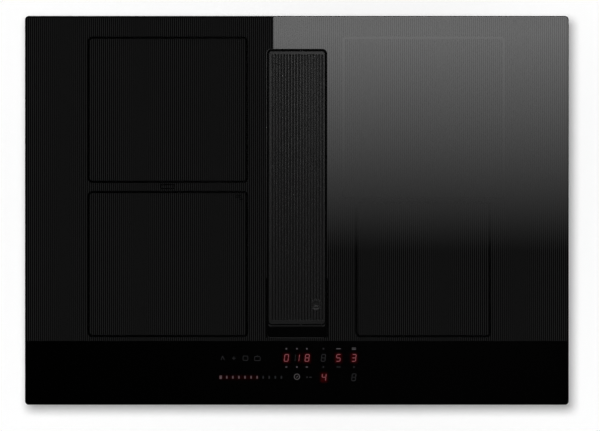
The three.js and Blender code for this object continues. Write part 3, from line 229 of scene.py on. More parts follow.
def shade(tree, inputs, pattern, dark, light, smooth, rough, tones=(0.0, 1.0)):
    """Colour and roughness that follow one pattern. Its tones are the values that end the roughness."""
    feed(tree, inputs["Base Color"], blend(tree, pattern, dark, light))
    feed(tree, inputs["Roughness"], remap(tree, pattern, *tones, smooth, rough))


def bump(tree, inputs, height, distance, strength=1.0):
    node = tree.nodes.new("ShaderNodeBump")
    node.inputs["Distance"].default_value = distance
    node.inputs["Strength"].default_value = strength
    feed(tree, node.inputs["Height"], height)
    tree.links.new(node.outputs["Normal"], inputs["Normal"])


# %% [markdown]
# ## Studio
#
# The cooktop hangs over a pale floor in soft light. A wide lamp far up, a little to the back left, gives
# the short soft shadow on the right and in front, and the sky gives the rest. The sky is plain white for
# the camera. Black glass mirrors whatever hangs over it, so in mirrors the sky is dark overhead and white
# near the horizon, as in a studio whose lamps stand round the set.

# %% World: ambient light, white background, dark ceiling in mirrors
AMBIENT = 0.34
BRIGHT_BELOW = 0.15
DARK_ABOVE = 0.7
FRONT_SHARE = 0.2

world = bpy.data.worlds.new("studio")
world.use_nodes = True
world.cycles.sampling_method = "NONE"
bpy.context.scene.world = world
sky = world.node_tree
_, side_y, upward = split_point(sky, coordinates(sky, "Generated"))
horizon = remap(sky, upward, BRIGHT_BELOW, DARK_ABOVE, 1.0, 0.0, smooth=True)
mirrored = times(sky, horizon, remap(sky, side_y, -1.0, 1.0, FRONT_SHARE, 1.0))
path = sky.nodes.new("ShaderNodeLightPath").outputs
seen = larger(sky, path["Is Camera Ray"], path["Is Transmission Ray"])
not_mirrored = remap(sky, seen, 0.0, 1.0, AMBIENT, 1.0)
background = sky.nodes["Background"].inputs
background["Color"].default_value = grey(1.0)
feed(sky, background["Strength"], blend(sky, path["Is Glossy Ray"], not_mirrored, mirrored, "FLOAT"))
print("sky: ambient", AMBIENT, "and a dark ceiling in mirrors")

# %% Lamp: a wide disc almost overhead, from the back left
LAMP_IRRADIANCE = 2.75
LAMP_HEIGHT = 13.0
LAMP_WIDTH = 0.9
LAMP_LEFT = 0.2
LAMP_BACK = 0.3

lamp_data = bpy.data.lights.new("soft_lamp", "AREA")
lamp_data.shape = "DISK"
lamp_data.size = LAMP_WIDTH
lamp_data.energy = LAMP_IRRADIANCE * math.pi * LAMP_HEIGHT**2
lamp = add_object("soft_lamp", lamp_data)
lamp.location = (-LAMP_LEFT, LAMP_BACK, glass_high.z + LAMP_HEIGHT)
lamp.visible_glossy = False
print("light level on a flat white card:", round(LAMP_IRRADIANCE / math.pi + AMBIENT, 2))

# %% Floor: a pale sheet under the cooktop
FLOOR_SIZE = 30.0
FLOOR_COLOUR = 0.78
FLOOR_FLECK = 0.005
FLECK_SCALE = 40.0
FLOOR_GLOW = 0.11


def flat_sheet(name, points):
    """A sheet with one face, drawn from its corners."""
    data = bpy.data.meshes.new(name)
    data.from_pydata(points, [], [tuple(range(len(points)))])
    return add_object(name, data)


def corners_of(low, high):
    return [low, (high[0], low[1]), high, (low[0], high[1])]


half = FLOOR_SIZE / 2
floor = flat_sheet("floor", [(x, y, 0) for x, y in corners_of((-half, -half), (half, half))])
floor.location.z = floor_z

floor_material, tree, inputs = finish(
    "pale_floor", Roughness=0.9, Specular_IOR_Level=0.0, Emission_Strength=1.0
)
fleck = noise(tree, coordinates(tree, "Generated"), FLECK_SCALE)
paler, darker = grey(FLOOR_COLOUR + FLOOR_FLECK), grey(FLOOR_COLOUR - FLOOR_FLECK)
feed(tree, inputs["Base Color"], blend(tree, fleck, darker, paler))
path = tree.nodes.new("ShaderNodeLightPath").outputs
bounced = larger(tree, path["Is Glossy Ray"], path["Is Transmission Ray"])
shown = larger(tree, path["Is Camera Ray"], bounced)
feed(tree, inputs["Emission Color"], blend(tree, shown, grey(0.0), grey(FLOOR_GLOW)))
floor.data.materials.append(floor_material)
print("floor lies at", round(floor_z / MM, 1), "mm")

# %% [markdown]
# ## Light panel over the back right
#
# The glass mirrors a soft panel that hangs over its back right part. Its left edge is crisp, and it fades
# towards the cook. A real panel of that shape is the honest way: it shows in the glass at any angle where a
# mirror would show it. Only mirrors see it, so it adds no light to the floor. A camera at height d sees a
# panel at height h mirrored smaller by 1 + h/d, so the wanted patch on the glass is scaled up by that.

# %% Panel whose mirror image covers the back right of the glass
PANEL_HEIGHT = 2.0
PANEL_LEFT = -31.0 * MM
PANEL_FRONT = -55.0 * MM
PANEL_RIGHT = 420.0 * MM
PANEL_BACK = 320.0 * MM
PANEL_FADE = 290.0 * MM
PANEL_PEAK = 4.85
PANEL_CURVE = 1.25

spread = 1.0 + PANEL_HEIGHT / camera_height


def over_glass(x, y):
    return (
        VIEW_CENTRE.x + (x - VIEW_CENTRE.x) * spread,
        VIEW_CENTRE.y + (y - VIEW_CENTRE.y) * spread,
        glass_high.z + PANEL_HEIGHT,
    )


corners = corners_of((PANEL_LEFT, PANEL_FRONT), (PANEL_RIGHT, PANEL_BACK))
panel = flat_sheet("light_panel", [over_glass(x, y) for x, y in reversed(corners)])
panel.visible_camera = False
panel.visible_diffuse = False
panel.visible_shadow = False
panel.visible_transmission = False

panel_material = bpy.data.materials.new("light_panel")
panel_material.use_nodes = True
panel_material.cycles.emission_sampling = "NONE"
tree = panel_material.node_tree
tree.nodes.remove(tree.nodes["Principled BSDF"])
glow = tree.nodes.new("ShaderNodeEmission")
start = over_glass(PANEL_LEFT, PANEL_FRONT)[1]
share = remap(tree, split_point(tree, coordinates(tree))["Y"], start, start + PANEL_FADE * spread)
feed(tree, glow.inputs["Strength"], times(tree, maths(tree, "POWER", share, PANEL_CURVE), PANEL_PEAK))
tree.links.new(glow.outputs[0], tree.nodes["Material Output"].inputs["Surface"])
panel.data.materials.append(panel_material)
print("light panel hangs", PANEL_HEIGHT, "m over the glass")

# %% [markdown]
# ## Mesh helpers
#
# Most pieces are plates and rings with rounded corners. They are made from loops of points: a loop is drawn
# once, repeated at other insets and heights, and the rows are joined by quads. That gives rounded edges of
# exactly the wanted radius, which a bevel modifier can't promise on a plate with a hole.

# %% Loops, skins and caps
HOLDING = 0.3 * MM
SMALLEST_RADIUS = 0.05 * MM


def rounded_loop(low, high, radius, inset=0.0, steps=6):
    """Points round a rectangle with rounded corners, drawn in by the inset."""
    radius = max(radius - inset, SMALLEST_RADIUS)
    x0, y0, x1, y1 = low[0] + inset, low[1] + inset, high[0] - inset, high[1] - inset
    right, left, rear, front = x1 - radius, x0 + radius, y1 - radius, y0 + radius
    centres = [(right, rear), (left, rear), (left, front), (right, front)]
    points = []
    for quarter, (cx, cy) in enumerate(centres):
        for k in range(steps + 1):
            turn = (quarter + k / steps) * math.pi / 2
            points.append((cx + radius * math.cos(turn), cy + radius * math.sin(turn)))
    return points


def add_loop(mesh, points, z):
    return [mesh.verts.new((x, y, z)) for x, y in points]


def skin(mesh, first, second, rings=True):
    """Quads between two rows of vertices. As rings, the rows' ends are joined too."""
    for k in range(0 if rings else 1, len(first)):
        mesh.faces.new((first[k - 1], first[k], second[k], second[k - 1]))


def skin_rows(mesh, rows, rings=True, closed=False):
    """Quads from row to row, and from the last row back to the first where the skin closes."""
    for first, second in zip(rows, [*rows[1:], rows[0]] if closed else rows[1:]):
        skin(mesh, first, second, rings)


def fill(mesh, *loops):
    """A flat face inside the first loop, with the others as its holes."""
    edges = []
    for loop in loops:
        for k in range(len(loop)):
            ends = (loop[k - 1], loop[k])
            edges.append(mesh.edges.get(ends) or mesh.edges.new(ends))
    bmesh.ops.triangle_fill(mesh, use_beauty=True, edges=edges)


def edge_rows(radius, top, under, steps=4):
    """Pairs of inset and height from a plate's flat top over its rounded edge and down to its underside."""
    rows = [(radius + HOLDING, top)]
    for k in range(steps + 1):
        turn = k / steps * math.pi / 2
        rows.append((radius * (1 - math.sin(turn)), top - radius * (1 - math.cos(turn))))
    return [*rows, (0.0, under)]


def holed_plate(draw_outer, outer_edge, draw_inner, inner_edge, top, under):
    """A plate between two loops, each drawn at an inset and rounded over its own edge."""
    mesh = bmesh.new()
    outer, inner = (
        [add_loop(mesh, draw(inset), z) for inset, z in edge_rows(radius, top, under)]
        for draw, radius in ((draw_outer, outer_edge), (draw_inner, inner_edge))
    )
    skin_rows(mesh, outer)
    skin_rows(mesh, inner)
    fill(mesh, outer[0], inner[0])
    fill(mesh, outer[-1], inner[-1])
    return mesh


def piece(name, mesh, material, body="hob", crease=35.0):
    """A finished mesh as an object that rides on its body."""
    bmesh.ops.recalc_face_normals(mesh, faces=mesh.faces)
    data = bpy.data.meshes.new(name)
    mesh.to_mesh(data)
    mesh.free()
    data.shade_smooth()
    data.set_sharp_from_angle(angle=math.radians(crease))
    data.materials.append(material)
    made = add_object(name, data)
    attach(made, body)
    return made


# %% [markdown]
# ## Print under the glass
#
# The glass-ceramic is black. A fine print of vertical lines covers all but the control strip, and each zone
# has an outline where the print is left out. The outlines are worked out from the coils, so print and coils
# agree. A distance field does this: each point on the glass knows how far it is from a rounded rectangle,
# and where that distance is small, the outline shows. It stays sharp at any zoom, unlike a picture.

# %% Node group: distance to a rounded rectangle
ORIGIN = (0.0, 0.0, 0.0)

box_distance, given, out = open_group(
    "distance_to_rounded_box",
    {"Point": ORIGIN, "Centre": ORIGIN, "Half Size": (1.0, 1.0, 0.0), "Corner": 0.1},
    ["Distance"],
)
tree = box_distance
offset = vector_maths(tree, "SUBTRACT", given["Point"], given["Centre"])
flat = vector_maths(tree, "MULTIPLY", offset, (1, 1, 0))
beyond = vector_maths(tree, "SUBTRACT", vector_maths(tree, "ABSOLUTE", flat), given["Half Size"])
past = [plus(tree, axis, given["Corner"]) for axis in split_point(tree, beyond)[:2]]
joined = tree.nodes.new("ShaderNodeCombineXYZ")
for socket, axis in zip(joined.inputs, past):
    feed(tree, socket, larger(tree, axis, 0.0))
outside = vector_maths(tree, "LENGTH", joined.outputs[0], output="Value")
inside = maths(tree, "MINIMUM", larger(tree, *past), 0.0)
feed(tree, out["Distance"], minus(tree, plus(tree, outside, inside), given["Corner"]))
print("made", box_distance.name)

# %% Helper: a soft-edged line or patch from a distance
EDGE_SOFTNESS = 0.12 * MM


def line_mask(tree, distance, width):
    low, high = width / 2 - EDGE_SOFTNESS, width / 2 + EDGE_SOFTNESS
    return remap(tree, absolute(tree, distance), low, high, 1.0, 0.0)


def patch_mask(tree, distance):
    return remap(tree, distance, -EDGE_SOFTNESS, EDGE_SOFTNESS, 1.0, 0.0)


def to_box(tree, point, low, high, corner):
    """The distance from a point to a rounded rectangle between two corners."""
    centre = ((low[0] + high[0]) / 2, (low[1] + high[1]) / 2, 0)
    half_size = ((high[0] - low[0]) / 2, (high[1] - low[1]) / 2, 0)
    measured = use_group(tree, box_distance, Point=point, Centre=centre, Half_Size=half_size, Corner=corner)
    return measured["Distance"]


# %% Places on the glass
ZONES = ("left_rear", "left_front", "right_rear", "right_front")
SLOT_HALF = 39.8 * MM
SLOT_FRONT = -168.5 * MM
SLOT_REAR = 213.5 * MM


def sign_box(x, y, width, height):
    """The corners of a small sign in the print, given by its middle and its size in millimetres."""
    low = ((x - width / 2) * MM, (y - height / 2) * MM)
    return low, ((x + width / 2) * MM, (y + height / 2) * MM)


print("glass has", len(ZONES), "zones")

# %% Node group: the print on the glass, its stripes first
STRIPE_PITCH = 2.6838 * MM
STRIPE_START = -1.05 * MM
LINE_SHARES = (0.12, 0.24)
RELIEF_SHIFT = 0.25

glass_print, given, out = open_group("glass_print", {"Point": ORIGIN}, ["Stripes", "Printed", "Relief"])
tree = glass_print
point = given["Point"]


def from_lane_middle(lane):
    return absolute(tree, minus(tree, maths(tree, "FRACT", lane), 0.5))


lane = maths(tree, "DIVIDE", minus(tree, split_point(tree, point)["X"], STRIPE_START), STRIPE_PITCH)
feed(tree, out["Stripes"], remap(tree, from_lane_middle(lane), *LINE_SHARES, 1.0, 0.0))
feed(tree, out["Relief"], from_lane_middle(plus(tree, lane, RELIEF_SHIFT)))
print("stripes are", round(STRIPE_PITCH / MM, 2), "mm apart")

# %% Node group, second part: where the print lies and what is left out of it
PRINT_BORDER = 2.4 * MM
PRINT_CORNER = 1.0 * MM
CONTROL_STRIP = 84.5 * MM
ZONE_LINE = 3.0 * MM
ZONE_GROWTH = 2.4 * MM
ZONE_CORNER = 5.0 * MM
BARE_STRIP_TOP = -89.7 * MM
BARE_STRIP_WIDTH = 1.3 * MM
SIGN_LINE = 1.5 * MM
THIN_LINE = 0.8 * MM
OPEN_SIGNS = [
    (*sign_box(-171.4, 31.4, 17.7, 5.3), 0.6 * MM, SIGN_LINE),
    (*sign_box(264.7, 219.6, 5.0, 5.0), 2.5 * MM, THIN_LINE),
    (*sign_box(-76.9, 20.0, 7.0, 0.6), 0.3 * MM, THIN_LINE),
    (*sign_box(-76.9, 17.4, 7.0, 0.6), 0.3 * MM, THIN_LINE),
    (*sign_box(-73.6, 14.6, 3.4, 0.6), 0.3 * MM, THIN_LINE),
]

field_low = (glass_low.x + PRINT_BORDER, glass_low.y + CONTROL_STRIP)
field_high = (glass_high.x - PRINT_BORDER, glass_high.y - PRINT_BORDER)
printed = patch_mask(tree, to_box(tree, point, field_low, field_high, PRINT_CORNER))
# Beside the front part of the slot, a narrow strip is left out of the print, so bare black glass shows
# there.
bare_strip_low = (-SLOT_HALF - BARE_STRIP_WIDTH, SLOT_FRONT)
bare_strip_high = (SLOT_HALF + BARE_STRIP_WIDTH, BARE_STRIP_TOP)
left_out = [patch_mask(tree, to_box(tree, point, bare_strip_low, bare_strip_high, PRINT_CORNER))]
outlines = list(OPEN_SIGNS)
for zone in ZONES:
    coil_low, coil_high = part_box(f"coil_{zone}")
    low = (coil_low.x - ZONE_GROWTH, coil_low.y - ZONE_GROWTH)
    high = (coil_high.x + ZONE_GROWTH, coil_high.y + ZONE_GROWTH)
    outlines.append((low, high, ZONE_CORNER, ZONE_LINE))
for low, high, corner, width in outlines:
    left_out.append(line_mask(tree, to_box(tree, point, low, high, corner), width))
for mask in left_out:
    printed = times(tree, printed, minus(tree, 1.0, mask))
feed(tree, out["Printed"], printed)
print("print has", len(left_out), "places left out")

# %% Node group: red glow round the lit digits
GLOW_REACH = 4.2 * MM
GLOW_CORNER = 0.5 * MM
GLOW_ROW = -195.6
LOWER_GLOW_ROW = -221.2
DIGIT_BOX = (6.4, 9.6)
GLOW_FIELDS = (
    (-13.8, GLOW_ROW, DIGIT_BOX, 1.0),
    (3.4, GLOW_ROW, (2.0, 9.6), 0.45),
    (13.7, GLOW_ROW, DIGIT_BOX, 1.0),
    (55.0, GLOW_ROW, DIGIT_BOX, 1.0),
    (75.6, GLOW_ROW, DIGIT_BOX, 1.0),
    (35.9, LOWER_GLOW_ROW, DIGIT_BOX, 1.0),
    (-77.0, LOWER_GLOW_ROW, (50.0, 2.6), 0.3),
)

digit_glow, given, out = open_group("digit_glow", {"Point": ORIGIN}, ["Glow"])
tree = digit_glow
total = 0.0
for x, y, size, share in GLOW_FIELDS:
    away = to_box(tree, given["Point"], *sign_box(x, y, *size), GLOW_CORNER)
    near = remap(tree, away, 0.0, GLOW_REACH, 1.0, 0.0)
    total = larger(tree, times(tree, maths(tree, "POWER", near, 2.0), share), total)
feed(tree, out["Glow"], total)
print("glow has", len(GLOW_FIELDS), "fields")

# %% Finish: black glass-ceramic
GLOW_COLOUR = (0.022, 0.0004, 0.0008, 1.0)
STRIPE_DARK = 0.0014
STRIPE_LIGHT = 0.0107
BARE_GLASS = 0.0001
GLOSS_DARK = 0.72
GLOSS_LIGHT = 0.475
GLOSS_BARE = 0.72
RELIEF_DEPTH = 0.55 * STRIPE_PITCH
GLASS_ROUGHNESS = 0.006
INK_ROUGHNESS = 0.3
INK_SPECULAR = 0.04

black_glass, tree, inputs = finish(
    "black_glass",
    Roughness=INK_ROUGHNESS,
    Specular_IOR_Level=INK_SPECULAR,
    Coat_Roughness=GLASS_ROUGHNESS,
    Emission_Strength=1.0,
)
point = coordinates(tree)
marks = use_group(tree, glass_print, Point=point)
print_colour = blend(tree, marks["Stripes"], grey(STRIPE_DARK), grey(STRIPE_LIGHT))
feed(tree, inputs["Base Color"], blend(tree, marks["Printed"], grey(BARE_GLASS), print_colour))
print_gloss = remap(tree, marks["Stripes"], 0.0, 1.0, GLOSS_DARK, GLOSS_LIGHT)
feed(tree, inputs["Coat Weight"], blend(tree, marks["Printed"], GLOSS_BARE, print_gloss, "FLOAT"))
bump(tree, inputs, times(tree, marks["Relief"], marks["Printed"]), RELIEF_DEPTH)
glow = use_group(tree, digit_glow, Point=point)["Glow"]
feed(tree, inputs["Emission Color"], blend(tree, glow, grey(0.0), GLOW_COLOUR))
print("made", black_glass.name)

# %% Piece: the glass plate
GLASS_EDGE = 0.9 * MM
SLOT_EDGE = 0.15 * MM
GLASS_CORNER = 5.0 * MM
SLOT_CORNER = 6.0 * MM
INK_HEIGHT = 0.05 * MM

glass_face = glass_high.z - INK_HEIGHT
slot_low, slot_high = (-SLOT_HALF, SLOT_FRONT), (SLOT_HALF, SLOT_REAR)
mesh = holed_plate(
    lambda inset: rounded_loop(glass_low, glass_high, GLASS_CORNER, inset),
    GLASS_EDGE,
    lambda inset: rounded_loop(slot_low, slot_high, SLOT_CORNER, -inset),
    SLOT_EDGE,
    glass_face,
    glass_low.z,
)
glass = piece("glass_plate", mesh, black_glass, crease=60.0)
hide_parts("glass_top")
print("glass has", len(glass.data.polygons), "faces")

# %% [markdown]
# ## Flap
#
# The flap is a satin anthracite plate with shallow ribs along its length, a plain border and a round finger
# dimple. Its top is a height field: a grid of points, each lifted by a formula for ribs, edge and dimple.
# Booleans would cut the same shapes, but a formula keeps the soft rounding where a groove ends.

# %% Height of the flap's top at a point
RIB_PITCH = 3.88 * MM
RIB_MIDDLE = 0.61 * MM
GROOVES = 18
GROOVE_DEPTH = 0.55 * MM
GROOVE_FLOOR = 0.12
GROOVE_MOUTH = 0.38
RIB_REAR_MARGIN = 4.6 * MM
RIB_FRONT_MARGIN = 5.4 * MM
RUN_OUT = 1.2 * MM
FLAP_EDGE = 0.7 * MM
FLAP_CORNER = 4.4 * MM
DIMPLE_RADIUS = 5.8 * MM
DIMPLE_DEPTH = 2.4 * MM
DIMPLE_PAD = 0.4 * MM
PAD_STRETCH = 2.2 * MM
WALL_STEEPNESS = 7
DIMPLE_FROM_RIGHT = 11.6 * MM
DIMPLE_FROM_FRONT = 24.7 * MM

flap_mid = (flap_low + flap_high) / 2
flap_half = (flap_high - flap_low) / 2
dimple_x = flap_high.x - DIMPLE_FROM_RIGHT
dimple_y = flap_low.y + DIMPLE_FROM_FRONT
pad = DIMPLE_RADIUS + DIMPLE_PAD
ribs_half = GROOVES / 2 * RIB_PITCH


def smooth_step(value, low, high):
    share = min(max((value - low) / (high - low), 0.0), 1.0)
    return share * share * (3 - 2 * share)


def groove_depth(x, y):
    """How far the grooves sink at a point: a flat floor, soft walls, and a soft run-out at each end."""
    lane = (x - RIB_MIDDLE) / RIB_PITCH - 0.5
    if abs(round(lane) + 0.5) > GROOVES / 2:
        return 0.0
    profile = 1.0 - smooth_step(abs(lane - round(lane)), GROOVE_FLOOR, GROOVE_MOUTH)
    to_end = min(flap_high.y - RIB_REAR_MARGIN - y, y - flap_low.y - RIB_FRONT_MARGIN)
    beside_pad = max(y - dimple_y - PAD_STRETCH, dimple_y - y, 0.0)
    to_pad = math.hypot(x - dimple_x, beside_pad) - pad
    return GROOVE_DEPTH * profile * smooth_step(min(to_end, to_pad), 0.0, RUN_OUT)


def dimple_depth(x, y):
    """How far the finger dimple sinks: steep walls round a floor that rises gently towards the front."""
    dx, dy = x - dimple_x, y - dimple_y
    away = math.hypot(dx, dy) / DIMPLE_RADIUS
    if away >= 1.0:
        return 0.0
    up_the_ramp = max(-dy / DIMPLE_RADIUS, 0.0)
    return DIMPLE_DEPTH * (1.0 - away**WALL_STEEPNESS) * (1.0 - up_the_ramp**2)


print("flap has", GROOVES, "grooves")

# %% Node group: where the flap's grooves run
RIBS_CORNER = 0.5 * MM

rib_field, given, out = open_group("rib_field", {"Point": ORIGIN}, ["Groove", "Worn"])
tree = rib_field
point = given["Point"]
from_groove = minus(tree, split_point(tree, point)["X"], RIB_MIDDLE + RIB_PITCH / 2)
across = absolute(tree, maths(tree, "WRAP", from_groove, RIB_PITCH / 2, -RIB_PITCH / 2))
floor_edge, mouth_edge = GROOVE_FLOOR * RIB_PITCH, GROOVE_MOUTH * RIB_PITCH
groove = remap(tree, across, floor_edge, mouth_edge, 1.0, 0.0, smooth=True)
ribs_low = (RIB_MIDDLE - ribs_half, flap_low.y + RIB_FRONT_MARGIN)
ribs_high = (RIB_MIDDLE + ribs_half, flap_high.y - RIB_REAR_MARGIN)
inside_ribs = patch_mask(tree, to_box(tree, point, ribs_low, ribs_high, RIBS_CORNER))
pad_low = (dimple_x - pad, dimple_y - pad)
pad_high = (dimple_x + pad, dimple_y + pad + PAD_STRETCH)
on_pad = patch_mask(tree, to_box(tree, point, pad_low, pad_high, pad))
ribbed = times(tree, inside_ribs, minus(tree, 1.0, on_pad))
feed(tree, out["Groove"], times(tree, groove, ribbed))
feed(tree, out["Worn"], larger(tree, ribbed, on_pad))
print("made", rib_field.name)

# %% Finish: satin anthracite coat of the flap
RIB_TONE = 0.0074
RIB_TONE_SPREAD = 0.15
# The grooves' darker colour is painted shade: ribs and grooves have the same coat, and this colour stands in
# for the shade that falls into the grooves.
GROOVE_PAINTED_SHADE = 0.0021
BORDER_GLOSS = 0.32
RIB_GLOSS = 0.62
GROOVE_GLOSS = 0.26
COAT_ROUGHNESS = 0.17
COAT_GRAIN = 1800.0
COAT_GRAIN_DEPTH = 0.02 * MM
COAT_GRAIN_STRENGTH = 0.5

satin_coat, tree, inputs = finish(
    "satin_anthracite_coat", Roughness=0.5, Specular_IOR_Level=0.06, Coat_Roughness=COAT_ROUGHNESS
)
point = coordinates(tree)
grain = noise(tree, point, COAT_GRAIN, 3.0)
ribs = use_group(tree, rib_field, Point=point)
darker, paler = grey((1 - RIB_TONE_SPREAD) * RIB_TONE), grey((1 + RIB_TONE_SPREAD) * RIB_TONE)
plain = blend(tree, grain, darker, paler)
# Painted shade: the base colour darkens inside the grooves.
feed(tree, inputs["Base Color"], blend(tree, ribs["Groove"], plain, grey(GROOVE_PAINTED_SHADE)))
worn_gloss = remap(tree, ribs["Worn"], 0.0, 1.0, BORDER_GLOSS, RIB_GLOSS)
gloss_lost = times(tree, ribs["Groove"], RIB_GLOSS - GROOVE_GLOSS)
feed(tree, inputs["Coat Weight"], minus(tree, worn_gloss, gloss_lost))
bump(tree, inputs, grain, COAT_GRAIN_DEPTH, COAT_GRAIN_STRENGTH)
print("made", satin_coat.name)

# %% Piece: the flap's plate
ROW_STEP = 12.0 * MM
FINE_STEP = 0.3 * MM
RIM_STEPS = 5
FINE_MARGIN = 2 * MM


def edge_places(low, high):
    """Places along one side of the flap: densest where its edge is rounded."""
    turns = [k / RIM_STEPS * math.pi / 2 for k in range(RIM_STEPS + 1)]
    rim = [low + FLAP_EDGE * (1 - math.cos(turn)) for turn in turns]
    count = int((high - low - 2 * FLAP_EDGE) / FINE_STEP)
    middle = [low + FLAP_EDGE + k * FINE_STEP for k in range(1, count)]
    return [*rim, *middle, *[low + high - place for place in reversed(rim)]]


def row_places():
    """Places along the flap: dense at both ends and round the dimple, wide apart between."""
    kept = []
    for place in edge_places(flap_low.y, flap_high.y):
        near_end = flap_half.y - abs(place - flap_mid.y) < RIB_FRONT_MARGIN + FINE_MARGIN
        near_dimple = abs(place - dimple_y) < pad + PAD_STRETCH + FINE_MARGIN
        if near_end or near_dimple or not kept or place - kept[-1] > ROW_STEP:
            kept.append(place)
    return kept


def flap_point(x, y):
    """A grid point, drawn in at the rounded corners and lowered by the shape of the flap's top."""
    into_corner = FLAP_CORNER - (flap_half.y - abs(y - flap_mid.y))
    narrowed = 0.0
    if into_corner > 0:
        narrowed = FLAP_CORNER - math.sqrt(max(FLAP_CORNER**2 - into_corner**2, 0.0))
    inner = flap_half.x - FLAP_CORNER
    dx = x - flap_mid.x
    if abs(dx) > inner:
        share = (abs(dx) - inner) / FLAP_CORNER
        dx = math.copysign(inner + share * (FLAP_CORNER - narrowed), dx)
    to_side = flap_half.x - narrowed - abs(dx)
    to_end = flap_half.y - abs(y - flap_mid.y)
    to_edge = min(to_side, to_end, FLAP_EDGE)
    rounding = FLAP_EDGE - math.sqrt(max(FLAP_EDGE**2 - (FLAP_EDGE - to_edge) ** 2, 0.0))
    sunk = rounding + groove_depth(x, y) + dimple_depth(x, y)
    return (flap_mid.x + dx, y, flap_high.z - sunk)


mesh = bmesh.new()
columns = edge_places(flap_low.x, flap_high.x)
grid = [[mesh.verts.new(flap_point(x, y)) for x in columns] for y in row_places()]
skin_rows(mesh, grid, rings=False)
rim_edges = [edge for edge in mesh.edges if edge.is_boundary]
wall = bmesh.ops.extrude_edge_only(mesh, edges=rim_edges)
for item in wall["geom"]:
    if isinstance(item, bmesh.types.BMVert):
        item.co.z = flap_low.z
low_edges = [edge for edge in mesh.edges if edge.is_boundary]
bmesh.ops.triangle_fill(mesh, use_beauty=True, edges=low_edges)
flap = piece("flap_skin", mesh, satin_coat, body="flap", crease=50.0)
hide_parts("flap_plate")
print("flap has", len(flap.data.polygons), "faces")

# %% [markdown]
# ## Trim round the air slot
#
# A narrow black moulding lines the slot: about a millimetre of rim at the sides and behind, and a flat
# shelf in front. A real one is moulded in one piece. Here two rounded loops, the slot's edge and the
# opening's edge, are skinned with a small rounding on each, so the corners come out right by themselves.

# %% Finish: satin black moulding of the trim
SHELF_DARK = 0.0002
SHELF_LIGHT = 0.0005
TRIM_GRAIN = 2600.0
TRIM_GRAIN_DEPTH = 0.01 * MM
TRIM_GRAIN_STRENGTH = 0.4

trim_black, tree, inputs = finish("satin_black_trim", Roughness=0.3, Specular_IOR_Level=0.03)
grain = noise(tree, coordinates(tree), TRIM_GRAIN)
feed(tree, inputs["Base Color"], blend(tree, grain, grey(SHELF_DARK), grey(SHELF_LIGHT)))
bump(tree, inputs, grain, TRIM_GRAIN_DEPTH, TRIM_GRAIN_STRENGTH)
print("made", trim_black.name)

# %% Loops of the opening, and how they give way to the lip
TRIM_PROUD = 0.06 * MM
TRIM_GAP = 0.3 * MM
TRIM_EDGE = 0.25 * MM
TRIM_DEPTH = 1.0 * MM
OPENING_HALF = 38.5 * MM
OPENING_FRONT = -151.9 * MM
OPENING_REAR = 211.9 * MM
OPENING_CORNER = 5.2 * MM
OPENING_STEPS = 10
LIP_RUN = 2.5 * MM
LIP_DROP = 1.3 * MM
LIP_SHEET = 0.3 * MM
LIP_SINK = 0.02 * MM
FACING_FRONT = 0.7

trim_top = frame_high.z + TRIM_PROUD


def opening_loop(inset, run):
    """The opening's edge, drawn out by the inset and moved forward by up to the run at its front."""
    low, high = (-OPENING_HALF, OPENING_FRONT), (OPENING_HALF, OPENING_REAR)
    moved = []
    for k, (x, y) in enumerate(rounded_loop(low, high, OPENING_CORNER, -inset, OPENING_STEPS)):
        quarter, step = divmod(k, OPENING_STEPS + 1)
        facing = max(0.0, -math.sin((quarter + step / OPENING_STEPS) * math.pi / 2))
        moved.append((x, y - run * smooth_step(facing, 0.0, FACING_FRONT)))
    return moved


print("opening is", round(2 * OPENING_HALF / MM, 1), "mm wide")

# %% Piece: the trim
trim_low = (-SLOT_HALF + TRIM_GAP, SLOT_FRONT + TRIM_GAP)
trim_high = (SLOT_HALF - TRIM_GAP, SLOT_REAR - TRIM_GAP)
mesh = holed_plate(
    lambda inset: rounded_loop(trim_low, trim_high, SLOT_CORNER - TRIM_GAP, inset),
    TRIM_EDGE,
    lambda inset: opening_loop(inset, LIP_RUN),
    TRIM_EDGE,
    trim_top,
    trim_top - TRIM_DEPTH,
)
trim = piece("slot_trim", mesh, trim_black, crease=60.0)
print("trim has", len(trim.data.polygons), "faces")

# %% [markdown]
# ## Lip in front of the flap
#
# A thin grey line runs round the flap's front: the shelf's edge slopes down to the flap there, and the
# slope narrows round both corners. It is a wedge between the opening's edge and the trim's drawn-back edge,
# so it fits both without a gap.

# %% Piece: the sloping lip
upper = opening_loop(0.0, LIP_RUN)
lower = opening_loop(0.0, 0.0)
start = 2 * (OPENING_STEPS + 1) + 1
lip_part = slice(start, start + 2 * OPENING_STEPS)
mesh = bmesh.new()
wedge = ((upper, LIP_SINK), (lower, LIP_DROP), (lower, LIP_DROP + LIP_SHEET), (upper, LIP_SHEET))
rows = [add_loop(mesh, points[lip_part], trim_top - sunk) for points, sunk in wedge]
skin_rows(mesh, rows, rings=False, closed=True)
mesh.faces.new([row[0] for row in rows])
mesh.faces.new([row[-1] for row in rows])
lip = piece("front_lip", mesh, satin_coat)
print("lip has", len(lip.data.polygons), "faces")

# %% [markdown]
# ## Signs and digits on the control strip
#
# The controls are touch fields under the glass. Lit digits glow red through it, and the signs of touch
# fields that can be chosen show dimly. Each sign is a thin layer on the glass, drawn from outlines in
# millimetres: a picture would go soft when someone comes close, and a layer stays sharp.

# %% Helper: ink shapes on the glass
INK_FOOT = 0.005 * MM


def ink_shape(mesh, outline, *holes):
    """A thin closed layer on the glass, inside an outline in millimetres and outside its holes."""
    loops = [[(x * MM, y * MM) for x, y in loop] for loop in (outline, *holes)]
    upper = [add_loop(mesh, loop, glass_high.z - INK_FOOT) for loop in loops]
    lower = [add_loop(mesh, loop, glass_face + INK_FOOT) for loop in loops]
    for first, second in zip(upper, lower):
        skin(mesh, first, second)
    fill(mesh, *upper)
    fill(mesh, *lower)


